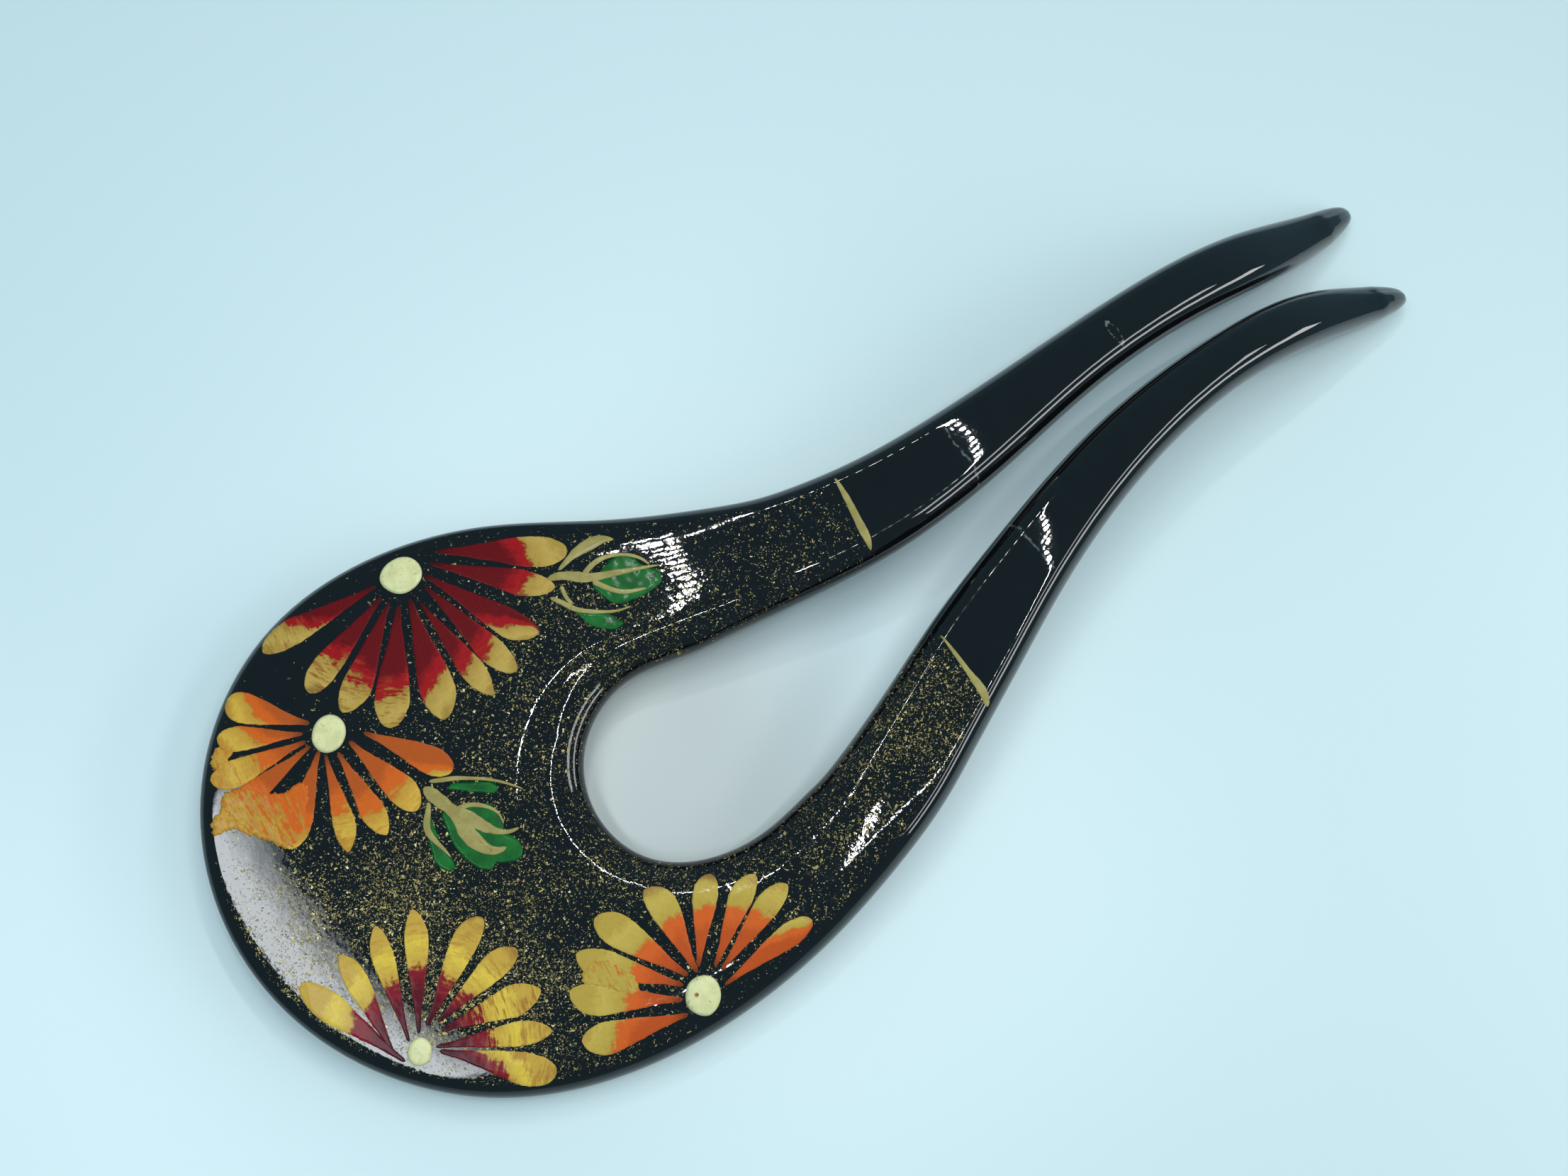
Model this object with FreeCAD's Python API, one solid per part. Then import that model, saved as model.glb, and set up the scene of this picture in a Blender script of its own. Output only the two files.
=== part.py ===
import FreeCAD, Part
import math
import os

# A lacquered wooden two-prong hairpin that lies face up on a table
# X runs from the round head to the prong tips, Y across the head, Z up from the table
# Everything is in millimetres, and the plan is drawn from the head's end at X = 0
LENGTH = 136.2

# The upper prong ends at the full length, the lower one a little short of it
UPPER_TIP = (LENGTH, 6.6)
LOWER_TIP = (LENGTH - 2.4, -4.9)
TIP_BLUNTNESS = 0.37
TIP_STEPS = (0.30, 0.55, 0.75, 0.88, 0.955, 0.99)

# One row for each section round the ribbon of wood: upper prong, head, lower prong
# outer_x, outer_y, inner_x, inner_y
RIBBON = (
    (130.0, 8.3, 130.0, 4.1),
    (122.0, 9.1, 122.0, 3.3),
    (106.0, 9.7, 106.0, 3.4),
    (89.7, 9.1, 90.3, 2.5),
    (73.8, 8.7, 74.2, 0.1),
    (66.3, 9.2, 65.7, -0.3),
    (59.1, 10.6, 56.9, 0.5),
    (52.2, 13.4, 47.5, 1.9),
    (46.0, 16.6, 46.0, 2.1),
    (34.3, 23.3, 42.8, 2.8),
    (16.1, 24.9, 37.7, 3.3),
    (2.6, 13.0, 32.5, 0.6),
    (0.8, -5.0, 30.0, -5.0),
    (10.6, -19.7, 31.8, -10.9),
    (25.5, -25.5, 37.0, -14.0),
    (37.4, -25.7, 42.1, -14.4),
    (46.0, -24.2, 46.0, -13.8),
    (51.8, -22.6, 48.1, -13.4),
    (59.8, -19.3, 56.2, -10.6),
    (67.6, -15.6, 64.3, -7.4),
    (75.3, -12.0, 72.6, -4.7),
    (90.7, -6.8, 89.3, -0.5),
    (106.1, -4.7, 105.9, 0.9),
    (121.6, -5.4, 122.4, -0.2),
    (128.2, -5.9, 129.0, -2.1),
)
SECTIONS_PER_ROW = 2

# The side view: the head rests near its end, the prongs arch and come down to their tips
# x, underside_height, thickness
SIDE_VIEW = (
    (0.0, 0.9, 4.5),
    (15.0, 0.0, 5.0),
    (30.0, 0.5, 5.0),
    (45.0, 1.9, 4.9),
    (60.0, 4.0, 4.8),
    (75.0, 5.9, 4.6),
    (97.0, 7.0, 4.2),
    (116.0, 5.0, 3.7),
    (128.0, 1.6, 3.1),
    (LENGTH, 0.0, 2.6),
)

# The section's shape by the way from a tip (0) to the middle of the head (1)
# The shoulder is where the top face turns down to the side, 90 degrees is a soft turn
# The rim drop is how far the top face falls towards the outer edge of the head
# way, outer_inset, inner_inset, outer_shoulder, inner_shoulder, crown, rim_drop
SECTION_SHAPE = (
    (0.00, 1.5, 1.5, 85.0, 85.0, 0.14, 0.0),
    (0.25, 1.6, 1.6, 74.0, 74.0, 0.10, 0.0),
    (0.42, 1.7, 1.7, 66.0, 66.0, 0.05, 0.0),
    (0.55, 1.7, 1.8, 64.0, 64.0, 0.06, 0.05),
    (0.66, 1.6, 2.6, 66.0, 72.0, 0.15, 0.25),
    (0.80, 1.2, 4.8, 62.0, 84.0, 0.10, 0.90),
    (1.00, 1.0, 6.5, 60.0, 89.0, 0.00, 1.60),
)
WIDEST_LEVEL = 0.45
UNDERSIDE_INSET = 2.2
LARGEST_INSET_SHARE = 0.36
ARC_STEPS = 4
FINE_FACETS = 0.05

# The raised paint: how far it floats, how thick it is, and the gap kept between strokes
PAINT_FLOAT = 0.04
PETAL_THICKNESS = 0.16
LEAF_THICKNESS = 0.10
LINE_THICKNESS = 0.08
DAB_FLOAT = 0.10
DAB_THICKNESS = 0.34
STROKE_GAP = 0.14

# Each flower is a fan of petals round a dab: name, x, y, dab_radius
FLOWERS = (
    ("red", 26.8, 22.1, 1.80),
    ("orange", 14.7, 12.8, 1.50),
    ("maroon", 8.0, -13.7, 1.00),
    ("amber", 28.9, -22.9, 1.55),
)
# One row for each petal, from beside the dab to its tip, with the half widths seen that way
# start_x, start_y, tip_x, tip_y, left_half_width, right_half_width
PETALS = {
    "red": (
        (30.4, 22.4, 40.1, 15.8, 1.48, 1.63),
        (29.4, 21.7, 37.4, 13.5, 1.03, 1.39),
        (28.5, 21.0, 34.0, 10.7, 0.84, 1.75),
        (28.0, 20.0, 30.6, 8.8, 0.94, 1.39),
        (26.9, 18.8, 27.8, 8.1, 1.03, 1.12),
        (26.3, 19.7, 23.3, 8.5, 1.75, 1.30),
        (25.2, 19.7, 19.1, 10.4, 1.56, 1.44),
        (24.6, 20.4, 16.5, 13.8, 1.62, 1.03),
        (24.4, 21.2, 15.0, 16.9, 1.05, 1.46),
        (24.5, 22.4, 13.5, 22.4, 0.93, 1.67),
    ),
    "orange": (
        (13.8, 14.8, 9.1, 20.4, 1.55, 1.10),
        (12.9, 14.2, 6.8, 17.7, 1.22, 1.00),
        (12.7, 13.5, 4.7, 14.7, 1.49, 0.97),
        (12.8, 12.7, 4.4, 10.9, 0.80, 1.45),
        (13.1, 11.9, 7.3, 6.0, 1.25, 1.10),
        (13.6, 11.1, 11.1, 3.1, 1.18, 0.72),
        (14.5, 11.0, 14.4, 2.6, 1.03, 1.03),
        (15.7, 11.2, 17.5, 3.0, 1.53, 1.01),
        (17.1, 11.3, 21.6, 4.3, 1.24, 1.17),
    ),
    "maroon": (
        (6.7, -13.5, 2.9, -3.9, 1.24, 1.03),
        (7.1, -12.6, 6.5, -3.7, 0.72, 1.13),
        (7.9, -12.3, 10.0, -3.3, 1.02, 0.79),
        (8.8, -12.4, 13.1, -3.8, 0.78, 1.19),
        (9.5, -12.7, 17.4, -7.5, 1.45, 0.75),
        (10.0, -13.0, 18.4, -11.3, 1.37, 0.88),
        (10.2, -13.7, 18.3, -15.1, 1.33, 1.23),
        (9.8, -14.5, 17.4, -18.3, 1.14, 0.87),
        (9.3, -15.2, 16.0, -21.2, 1.08, 1.42),
    ),
    "amber": (
        (27.1, -23.4, 18.9, -20.3, 1.50, 1.02),
        (27.3, -22.3, 20.1, -16.5, 1.68, 0.75),
        (27.9, -21.3, 22.1, -14.3, 1.45, 1.03),
        (28.6, -20.9, 24.9, -12.7, 1.25, 1.50),
        (29.4, -20.9, 29.6, -13.0, 0.70, 1.79),
        (30.1, -20.9, 34.9, -15.0, 1.30, 0.86),
        (30.8, -21.4, 37.9, -17.2, 1.38, 0.66),
        (31.2, -22.2, 39.6, -19.4, 1.30, 0.85),
        (31.0, -23.2, 39.7, -23.0, 1.09, 0.90),
    ),
}
# A petal's half width along it, as shares of its length and of its full half width
PETAL_OUTLINE = (
    (0.00, 0.16), (0.25, 0.42), (0.50, 0.78), (0.70, 1.00), (0.85, 0.90), (0.95, 0.58), (1.00, 0.24),
)

# Leaves: name, start_x, start_y, end_x, end_y, left_width, right_width
LEAVES = (
    ("leaf_near_prong", 40.1, 11.8, 46.0, 9.3, 2.1, 1.9),
    ("leaf_by_opening", 37.6, 10.7, 40.6, 7.2, 0.7, 0.7),
    ("leaf_lobed", 19.7, 1.8, 21.6, -5.3, 2.4, 2.0),
    ("leaf_narrow", 18.1, 2.5, 17.1, -3.1, 0.6, 0.7),
    ("leaf_short", 20.5, 3.3, 24.1, 0.8, 0.5, 0.5),
)
LEAF_OUTLINE = (
    (0.00, 0.12), (0.15, 0.62), (0.38, 1.00), (0.62, 0.96), (0.84, 0.66), (1.00, 0.16),
)

# Gold brush lines: name, start_width, middle_width, end_width, then three points in plan
GOLD_LINES = (
    ("stem_near_prong", 0.6, 0.9, 0.3, (37.2, 14.4), (40.7, 12.3), (46.1, 10.1)),
    ("stroke_near_prong", 0.4, 1.1, 0.4, (38.5, 14.8), (41.3, 15.4), (44.1, 14.6)),
    ("stem_by_opening", 0.4, 0.4, 0.2, (36.6, 12.8), (38.6, 10.0), (42.0, 8.3)),
    ("stem_lobed", 0.7, 1.3, 0.5, (18.9, 4.4), (20.0, 0.4), (21.6, -3.7)),
    ("stem_short", 0.3, 0.4, 0.2, (19.5, 4.6), (22.4, 3.0), (25.6, -0.2)),
    ("band_upper", 0.4, 0.7, 0.8, (63.7, 8.1), (63.3, 4.4), (62.7, 0.7)),
    ("band_lower", 0.3, 0.6, 0.8, (63.0, -9.3), (63.0, -13.2), (62.8, -16.8)),
)
LINE_STEPS = 8


def smooth_curve(places, values):
    """Return a function that passes through the values with a smooth bend."""
    count = len(places)
    gap = [places[i + 1] - places[i] for i in range(count - 1)]
    slope = [(values[i + 1] - values[i]) / gap[i] for i in range(count - 1)]
    bend = [0.0] * count
    upper = [0.0] * count
    right = [0.0] * count
    for i in range(1, count - 1):
        pivot = 2 * (gap[i - 1] + gap[i]) - gap[i - 1] * upper[i - 1]
        upper[i] = gap[i] / pivot
        right[i] = (6 * (slope[i] - slope[i - 1]) - gap[i - 1] * right[i - 1]) / pivot
    for i in range(count - 2, 0, -1):
        bend[i] = right[i] - upper[i] * bend[i + 1]

    def value(place):
        i = 0
        while i < count - 2 and place > places[i + 1]:
            i += 1
        a = (places[i + 1] - place) / gap[i]
        b = 1 - a
        curved = (a ** 3 - a) * bend[i] + (b ** 3 - b) * bend[i + 1]
        return a * values[i] + b * values[i + 1] + curved * gap[i] ** 2 / 6

    return value


def column_curves(rows):
    """Return one smooth function of the first column for each further column."""
    columns = list(zip(*rows))
    return [smooth_curve(columns[0], column) for column in columns[1:]]


underside_at, thickness_at = column_curves(SIDE_VIEW)
shape_curves = column_curves(SECTION_SHAPE)


def distance(a, b):
    return math.hypot(b[0] - a[0], b[1] - a[1])


def between(a, b, share):
    return tuple(p + (q - p) * share for p, q in zip(a, b))


def tip_rows(row, tip):
    """Close a prong: sections that shrink from its last row to its tip."""
    outer, inner = row[:2], row[2:]
    middle = between(outer, inner, 0.5)
    rows = []
    for share in TIP_STEPS:
        place = between(middle, tip, share)
        scale = (1 - share) ** TIP_BLUNTNESS
        half = tuple((o - i) / 2 * scale for o, i in zip(outer, inner))
        rows.append((place[0] + half[0], place[1] + half[1], place[0] - half[0], place[1] - half[1], scale))
    return rows


def ribbon_stations():
    """List the sections round the ribbon as outer point, inner point, way and scale."""
    middles = [between(row[:2], row[2:], 0.5) for row in RIBBON]
    along = [0.0]
    for a, b in zip(middles, middles[1:]):
        along.append(along[-1] + distance(a, b))
    curves = [smooth_curve(along, column) for column in zip(*RIBBON)]
    stations = []
    for row in reversed(tip_rows(RIBBON[0], UPPER_TIP)):
        stations.append((row[0:2], row[2:4], 0.0, row[4]))
    steps = (len(RIBBON) - 1) * SECTIONS_PER_ROW
    for step in range(steps + 1):
        row = step // SECTIONS_PER_ROW
        part = step % SECTIONS_PER_ROW / SECTIONS_PER_ROW
        place = along[row] if part == 0 else along[row] + part * (along[row + 1] - along[row])
        x_out, y_out, x_in, y_in = [curve(place) for curve in curves]
        way = 1 - abs(2 * place / along[-1] - 1)
        stations.append(((x_out, y_out), (x_in, y_in), way, 1.0))
    for row in tip_rows(RIBBON[-1], LOWER_TIP):
        stations.append((row[0:2], row[2:4], 0.0, row[4]))
    return stations


def rounded_corner(inset, shoulder):
    """Points of an oval corner from the widest level, at (0, 0), to its shoulder."""
    full = math.radians(shoulder)
    points = []
    for step in range(ARC_STEPS + 1):
        angle = full * step / ARC_STEPS
        back = inset * (1 - math.cos(angle)) / (1 - math.cos(full))
        points.append((back, math.sin(angle) / math.sin(full)))
    return points


def section_sizes(station):
    """Work out one section: its width, then inset and shoulder of each corner, crown and drop."""
    outer, inner, way, scale = station
    width = distance(outer, inner)
    outer_inset, inner_inset, outer_turn, inner_turn, crown, drop = [curve(way) for curve in shape_curves]
    limit = LARGEST_INSET_SHARE * width
    outer_corner = min(outer_inset, limit), outer_turn
    inner_corner = min(inner_inset, limit), inner_turn
    return width, outer_corner, inner_corner, crown * scale, max(drop, 0.0) * scale


def face_rise(share, crown, drop):
    """How far the top face stands over its inner edge, at a share of the way to its outer edge."""
    return crown * 4 * share * (1 - share) - drop * share ** 3


def heights(x, scale):
    """Underside, widest level and top of the wood at a place along its length."""
    bottom = underside_at(x)
    thick = thickness_at(x)
    level = bottom + WIDEST_LEVEL * thick * (1 + scale) / 2
    low = level - WIDEST_LEVEL * thick * scale
    top = level + (1 - WIDEST_LEVEL) * thick * scale
    return low, level, top


def section_point(station, across, up=0.0, down=0.0, above=0.0):
    """A point across a section, up or down by a share of the way from the widest level."""
    outer, inner, way, scale = station
    x, y = between(inner, outer, across / distance(outer, inner))
    low, level, top = heights(x, scale)
    return (x, y, level + up * (top - level) - down * (level - low) + above)


def section_wire(station):
    """One closed section: two upper corners, a crowned top, two lower corners, an underside."""
    width, outer_corner, inner_corner, crown, drop = section_sizes(station)
    outer_inset, inner_inset = outer_corner[0], inner_corner[0]
    low_inset = min(UNDERSIDE_INSET, LARGEST_INSET_SHARE * width)
    lower_corner = rounded_corner(low_inset, 90.0)
    top = []
    for step in range(ARC_STEPS + 1):
        share = step / ARC_STEPS
        across = inner_inset + share * (width - outer_inset - inner_inset)
        top.append(section_point(station, across, up=1.0, above=face_rise(share, crown, drop)))
    outer_run = []
    for back, rise in reversed(rounded_corner(*outer_corner)):
        outer_run.append(section_point(station, width - back, up=rise, above=-drop * rise))
    runs = (
        [section_point(station, back, up=rise) for back, rise in rounded_corner(*inner_corner)],
        top,
        outer_run,
        [section_point(station, width - back, down=rise) for back, rise in lower_corner],
        [section_point(station, across, down=1.0) for across in (width - low_inset, low_inset)],
        [section_point(station, back, down=rise) for back, rise in reversed(lower_corner)],
    )
    return Part.Wire([curve_edge(run) for run in runs])


def curve_edge(points):
    """An edge through the points, straight where there are only two."""
    vectors = [FreeCAD.Vector(*point) for point in points]
    if len(vectors) == 2:
        return Part.makeLine(vectors[0], vectors[1])
    curve = Part.BSplineCurve()
    last = len(vectors) - 1
    curve.interpolate(Points=vectors, Parameters=[i / last for i in range(last + 1)])
    return curve.toShape()


def make_body(stations):
    return Part.makeLoft([section_wire(station) for station in stations], True, False)


def side_of(station, point):
    """Positive on one side of a section's line in plan, negative on the other."""
    outer, inner = station[0], station[1]
    return (outer[0] - inner[0]) * (point[1] - inner[1]) - (outer[1] - inner[1]) * (point[0] - inner[0])


def lacquer_height(stations, x, y):
    """Height of the wood's top face over a point of the plan."""
    nearest = None
    for a, b in zip(stations, stations[1:]):
        side_a, side_b = side_of(a, (x, y)), side_of(b, (x, y))
        if side_a * side_b > 0:
            continue
        share = side_a / (side_a - side_b)
        outer = between(a[0], b[0], share)
        inner = between(a[1], b[1], share)
        width = distance(outer, inner)
        across = ((x - inner[0]) * (outer[0] - inner[0]) + (y - inner[1]) * (outer[1] - inner[1])) / width
        if -0.01 <= across <= width + 0.01:
            way = a[2] + share * (b[2] - a[2])
            nearest = (outer, inner, way, 1.0), across
    if nearest is None:
        raise ValueError("no wood under %.1f, %.1f" % (x, y))
    station, across = nearest
    width, outer_corner, inner_corner, crown, drop = section_sizes(station)
    low, level, top = heights(x, station[3])
    if across < inner_corner[0]:
        return corner_height(across, inner_corner, level, top)
    if across > width - outer_corner[0]:
        return corner_height(width - across, outer_corner, level, top - drop)
    share = (across - inner_corner[0]) / (width - inner_corner[0] - outer_corner[0])
    return top + face_rise(share, crown, drop)


def corner_height(back, corner, level, top):
    """Height of a rounded upper corner at a distance in from the widest line."""
    inset, shoulder = corner
    full = math.radians(shoulder)
    cosine = 1 - max(back, 0.0) / inset * (1 - math.cos(full))
    return level + (top - level) * math.sqrt(1 - cosine ** 2) / math.sin(full)


def stroke(stations, spine, half_widths, thickness, lift):
    """A raised stroke of paint along a spine of plan points, with a width at each."""
    wires = []
    for i, point in enumerate(spine):
        before = spine[max(i - 1, 0)]
        after = spine[min(i + 1, len(spine) - 1)]
        length = distance(before, after)
        normal = (-(after[1] - before[1]) / length, (after[0] - before[0]) / length)
        left, right = half_widths[i]
        places = []
        for offset in (left, (left - right) / 2, -right):
            x, y = point[0] + normal[0] * offset, point[1] + normal[1] * offset
            places.append((x, y, lacquer_height(stations, x, y) + lift))
        raised = [(x, y, z + thickness) for x, y, z in places]
        wires.append(Part.Wire([
            curve_edge(places),
            curve_edge((places[-1], raised[-1])),
            curve_edge(raised[::-1]),
            curve_edge((raised[0], places[0])),
        ]))
    return Part.makeLoft(wires, True, False)


def distance_to_line(point, start, end):
    """Distance from a point to a straight piece of line."""
    length = distance(start, end)
    way = ((end[0] - start[0]) / length, (end[1] - start[1]) / length)
    along = (point[0] - start[0]) * way[0] + (point[1] - start[1]) * way[1]
    along = min(max(along, 0.0), length)
    return distance(point, (start[0] + way[0] * along, start[1] + way[1] * along))


def petal_room(rows, index, point):
    """Room for half a stroke at a point, on the left and on the right of the petal."""
    start, tip = rows[index][:2], rows[index][2:4]
    left = right = 9.0
    for other in (index - 1, index + 1):
        if not 0 <= other < len(rows):
            continue
        other_start, other_tip = rows[other][:2], rows[other][2:4]
        room = (distance_to_line(point, other_start, other_tip) - STROKE_GAP) / 2
        side_x, side_y = other_tip[0] - start[0], other_tip[1] - start[1]
        on_left = (tip[0] - start[0]) * side_y - (tip[1] - start[1]) * side_x > 0
        if on_left:
            left = min(left, room)
        else:
            right = min(right, room)
    return left, right


def make_petals(stations, flower):
    """All petals of one flower, each a raised stroke that widens away from the dab."""
    rows = PETALS[flower[0]]
    petals = []
    for index, row in enumerate(rows):
        start, tip = row[:2], row[2:4]
        spine = []
        halves = []
        for share, part in PETAL_OUTLINE:
            point = between(start, tip, share)
            left_room, right_room = petal_room(rows, index, point)
            spine.append(point)
            halves.append((min(part * row[4], left_room), min(part * row[5], right_room)))
        petals.append(stroke(stations, spine, halves, PETAL_THICKNESS, PAINT_FLOAT))
    return Part.makeCompound(petals)


def make_dab(stations, flower):
    """The thick round dab of pale paint in a flower's middle, tilted as the wood is."""
    name, x, y, radius = flower
    step = radius / 2
    rise_x = lacquer_height(stations, x + step, y) - lacquer_height(stations, x - step, y)
    rise_y = lacquer_height(stations, x, y + step) - lacquer_height(stations, x, y - step)
    normal = FreeCAD.Vector(-rise_x, -rise_y, 2 * step)
    normal.normalize()
    foot = FreeCAD.Vector(x, y, lacquer_height(stations, x, y)) + normal * DAB_FLOAT
    shoulder = radius - DAB_THICKNESS / 2
    base = Part.makeCylinder(radius, DAB_THICKNESS / 2, foot, normal)
    crown_foot = foot + normal * (DAB_THICKNESS / 2)
    crown = Part.makeCone(radius, shoulder, DAB_THICKNESS / 2, crown_foot, normal)
    return base.fuse(crown)


def make_leaf(stations, leaf):
    name, x_start, y_start, x_end, y_end, left, right = leaf
    spine = [between((x_start, y_start), (x_end, y_end), share) for share, part in LEAF_OUTLINE]
    halves = [(part * left, part * right) for share, part in LEAF_OUTLINE]
    return stroke(stations, spine, halves, LEAF_THICKNESS, PAINT_FLOAT)


def make_gold_line(stations, line, lift):
    name, w_start, w_middle, w_end, start, middle, end = line
    spine = []
    halves = []
    for step in range(LINE_STEPS + 1):
        t = step / LINE_STEPS
        first, second, third = (1 - t) * (1 - 2 * t), 4 * t * (1 - t), t * (2 * t - 1)
        spine.append(tuple(first * a + second * b + third * c for a, b, c in zip(start, middle, end)))
        half = (first * w_start + second * w_middle + third * w_end) / 2
        halves.append((half, half))
    return stroke(stations, spine, halves, LINE_THICKNESS, lift)


def save(shape, name, shift):
    """Move a shape from the plan's frame to the part's frame and write it."""
    shape.translate(shift)
    shape.exportStep("parts/%s.step" % name)
    state = "valid" if shape.isValid() else "BROKEN"
    print(name, state, "volume %.1f" % shape.Volume, "solids", len(shape.Solids))


def centre_shift(body):
    """The move that puts the body's lowest level and middle at the origin."""
    points = body.tessellate(FINE_FACETS)[0]
    lowest = [min(point[axis] for point in points) for axis in range(3)]
    highest = [max(point[axis] for point in points) for axis in range(3)]
    return FreeCAD.Vector(-(lowest[0] + highest[0]) / 2, -(lowest[1] + highest[1]) / 2, -lowest[2])


os.makedirs("parts", exist_ok=True)
stations = ribbon_stations()
body = make_body(stations)
shift = centre_shift(body)
print("shift", shift)
save(body, "body", shift)
for flower in FLOWERS:
    save(make_petals(stations, flower), "petals_" + flower[0], shift)
    save(make_dab(stations, flower), "dab_" + flower[0], shift)
for leaf in LEAVES:
    save(make_leaf(stations, leaf), leaf[0], shift)
over_paint = PAINT_FLOAT + PETAL_THICKNESS + PAINT_FLOAT / 2
for line in GOLD_LINES:
    on_bare_wood = line[0].startswith(("band", "stroke"))
    save(make_gold_line(stations, line, PAINT_FLOAT if on_bare_wood else over_paint), line[0], shift)
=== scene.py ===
import math

import bpy
import numpy as np
from mathutils import Matrix, Vector, noise
from mathutils.bvhtree import BVHTree
from mathutils.geometry import delaunay_2d_cdt


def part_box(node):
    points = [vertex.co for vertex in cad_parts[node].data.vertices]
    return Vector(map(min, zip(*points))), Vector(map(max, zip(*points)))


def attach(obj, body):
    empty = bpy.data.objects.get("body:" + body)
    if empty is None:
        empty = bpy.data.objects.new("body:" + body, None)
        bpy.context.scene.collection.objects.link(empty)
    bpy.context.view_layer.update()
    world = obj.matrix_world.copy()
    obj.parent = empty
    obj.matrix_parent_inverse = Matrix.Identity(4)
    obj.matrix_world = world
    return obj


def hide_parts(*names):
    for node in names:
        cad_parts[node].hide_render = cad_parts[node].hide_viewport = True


# Sizes are in millimetres in the plan that the tables below use, and MM takes them to metres
# The plan has X = 0 at the head's round end, X towards the prong tips and Y across the head
MM = 0.001

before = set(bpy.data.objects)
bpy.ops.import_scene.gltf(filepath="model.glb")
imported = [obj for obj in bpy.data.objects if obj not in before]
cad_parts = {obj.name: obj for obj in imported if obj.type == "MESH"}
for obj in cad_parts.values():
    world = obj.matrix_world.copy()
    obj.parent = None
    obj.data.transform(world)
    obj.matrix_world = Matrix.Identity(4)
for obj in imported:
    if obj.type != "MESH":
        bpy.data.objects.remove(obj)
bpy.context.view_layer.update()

# The camera looks down at the hairpin from the head's side, and the photograph is 4 by 3
CAMERA_LENS = 32.55
CAMERA_SENSOR = 36.0
CAMERA_AIM = (56.67, 3.99, 0.0)
CAMERA_DISTANCE = 135.1
CAMERA_TURN_DEGREES = 33.67
CAMERA_LEAN_DEGREES = 22.0
CAMERA_LEFT_DEGREES = 20.0

# The ribbon of wood: upper prong, head, lower prong
# outer_x, outer_y, inner_x, inner_y
RIBBON = (
    (130.0, 8.3, 130.0, 4.1),
    (122.0, 9.1, 122.0, 3.3),
    (106.0, 9.7, 106.0, 3.4),
    (89.7, 9.1, 90.3, 2.5),
    (73.8, 8.7, 74.2, 0.1),
    (66.3, 9.2, 65.7, -0.3),
    (59.1, 10.6, 56.9, 0.5),
    (52.2, 13.4, 47.5, 1.9),
    (46.0, 16.6, 46.0, 2.1),
    (34.3, 23.3, 42.8, 2.8),
    (16.1, 24.9, 37.7, 3.3),
    (2.6, 13.0, 32.5, 0.6),
    (0.8, -5.0, 30.0, -5.0),
    (10.6, -19.7, 31.8, -10.9),
    (25.5, -25.5, 37.0, -14.0),
    (37.4, -25.7, 42.1, -14.4),
    (46.0, -24.2, 46.0, -13.8),
    (51.8, -22.6, 48.1, -13.4),
    (59.8, -19.3, 56.2, -10.6),
    (67.6, -15.6, 64.3, -7.4),
    (75.3, -12.0, 72.6, -4.7),
    (90.7, -6.8, 89.3, -0.5),
    (106.1, -4.7, 105.9, 0.9),
    (121.6, -5.4, 122.4, -0.2),
    (128.2, -5.9, 129.0, -2.1),
)
LENGTH = 136.2
UPPER_TIP = (LENGTH, 6.6)
LOWER_TIP = (LENGTH - 2.4, -4.9)
TIP_BLUNTNESS = 0.37
RINGS_PER_ROW = 15
TIP_RINGS = 16

# x, underside_height, thickness
SIDE_VIEW = (
    (0.0, 0.9, 4.5),
    (15.0, 0.0, 5.0),
    (30.0, 0.5, 5.0),
    (45.0, 1.9, 4.9),
    (60.0, 4.0, 4.8),
    (75.0, 5.9, 4.6),
    (97.0, 7.0, 4.2),
    (116.0, 5.0, 3.7),
    (128.0, 1.6, 3.1),
    (LENGTH, 0.0, 2.6),
)
# The section by the way from a tip (0) to the middle of the head (1)
# way, outer_inset, inner_inset, outer_shoulder, inner_shoulder, crown, rim_drop
SECTION_SHAPE = (
    (0.00, 1.5, 1.5, 85.0, 85.0, 0.14, 0.0),
    (0.25, 1.6, 1.6, 74.0, 74.0, 0.10, 0.0),
    (0.42, 1.7, 1.7, 66.0, 66.0, 0.05, 0.0),
    (0.55, 1.7, 1.8, 64.0, 64.0, 0.06, 0.05),
    (0.66, 1.6, 2.6, 66.0, 72.0, 0.15, 0.25),
    (0.80, 1.2, 4.8, 62.0, 84.0, 0.10, 0.90),
    (1.00, 1.0, 6.5, 60.0, 89.0, 0.00, 1.60),
)
WIDEST_LEVEL = 0.45
UNDERSIDE_INSET = 2.2
LARGEST_INSET_SHARE = 0.36
# The lacquer rounds each edge of the wood over this distance to either side
EDGE_SOFTNESS = 0.42

# Flowers: name, dab_x, dab_y, dab_half_length, dab_half_width, dab_turn_degrees
FLOWERS = (
    ("red", 26.82, 22.09, 1.84, 1.76, 0.0),
    ("orange", 14.65, 12.84, 1.66, 1.40, 56.0),
    ("maroon", 7.97, -13.68, 1.09, 0.95, 56.0),
    ("amber", 28.90, -22.88, 1.60, 1.48, 56.0),
)
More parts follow.
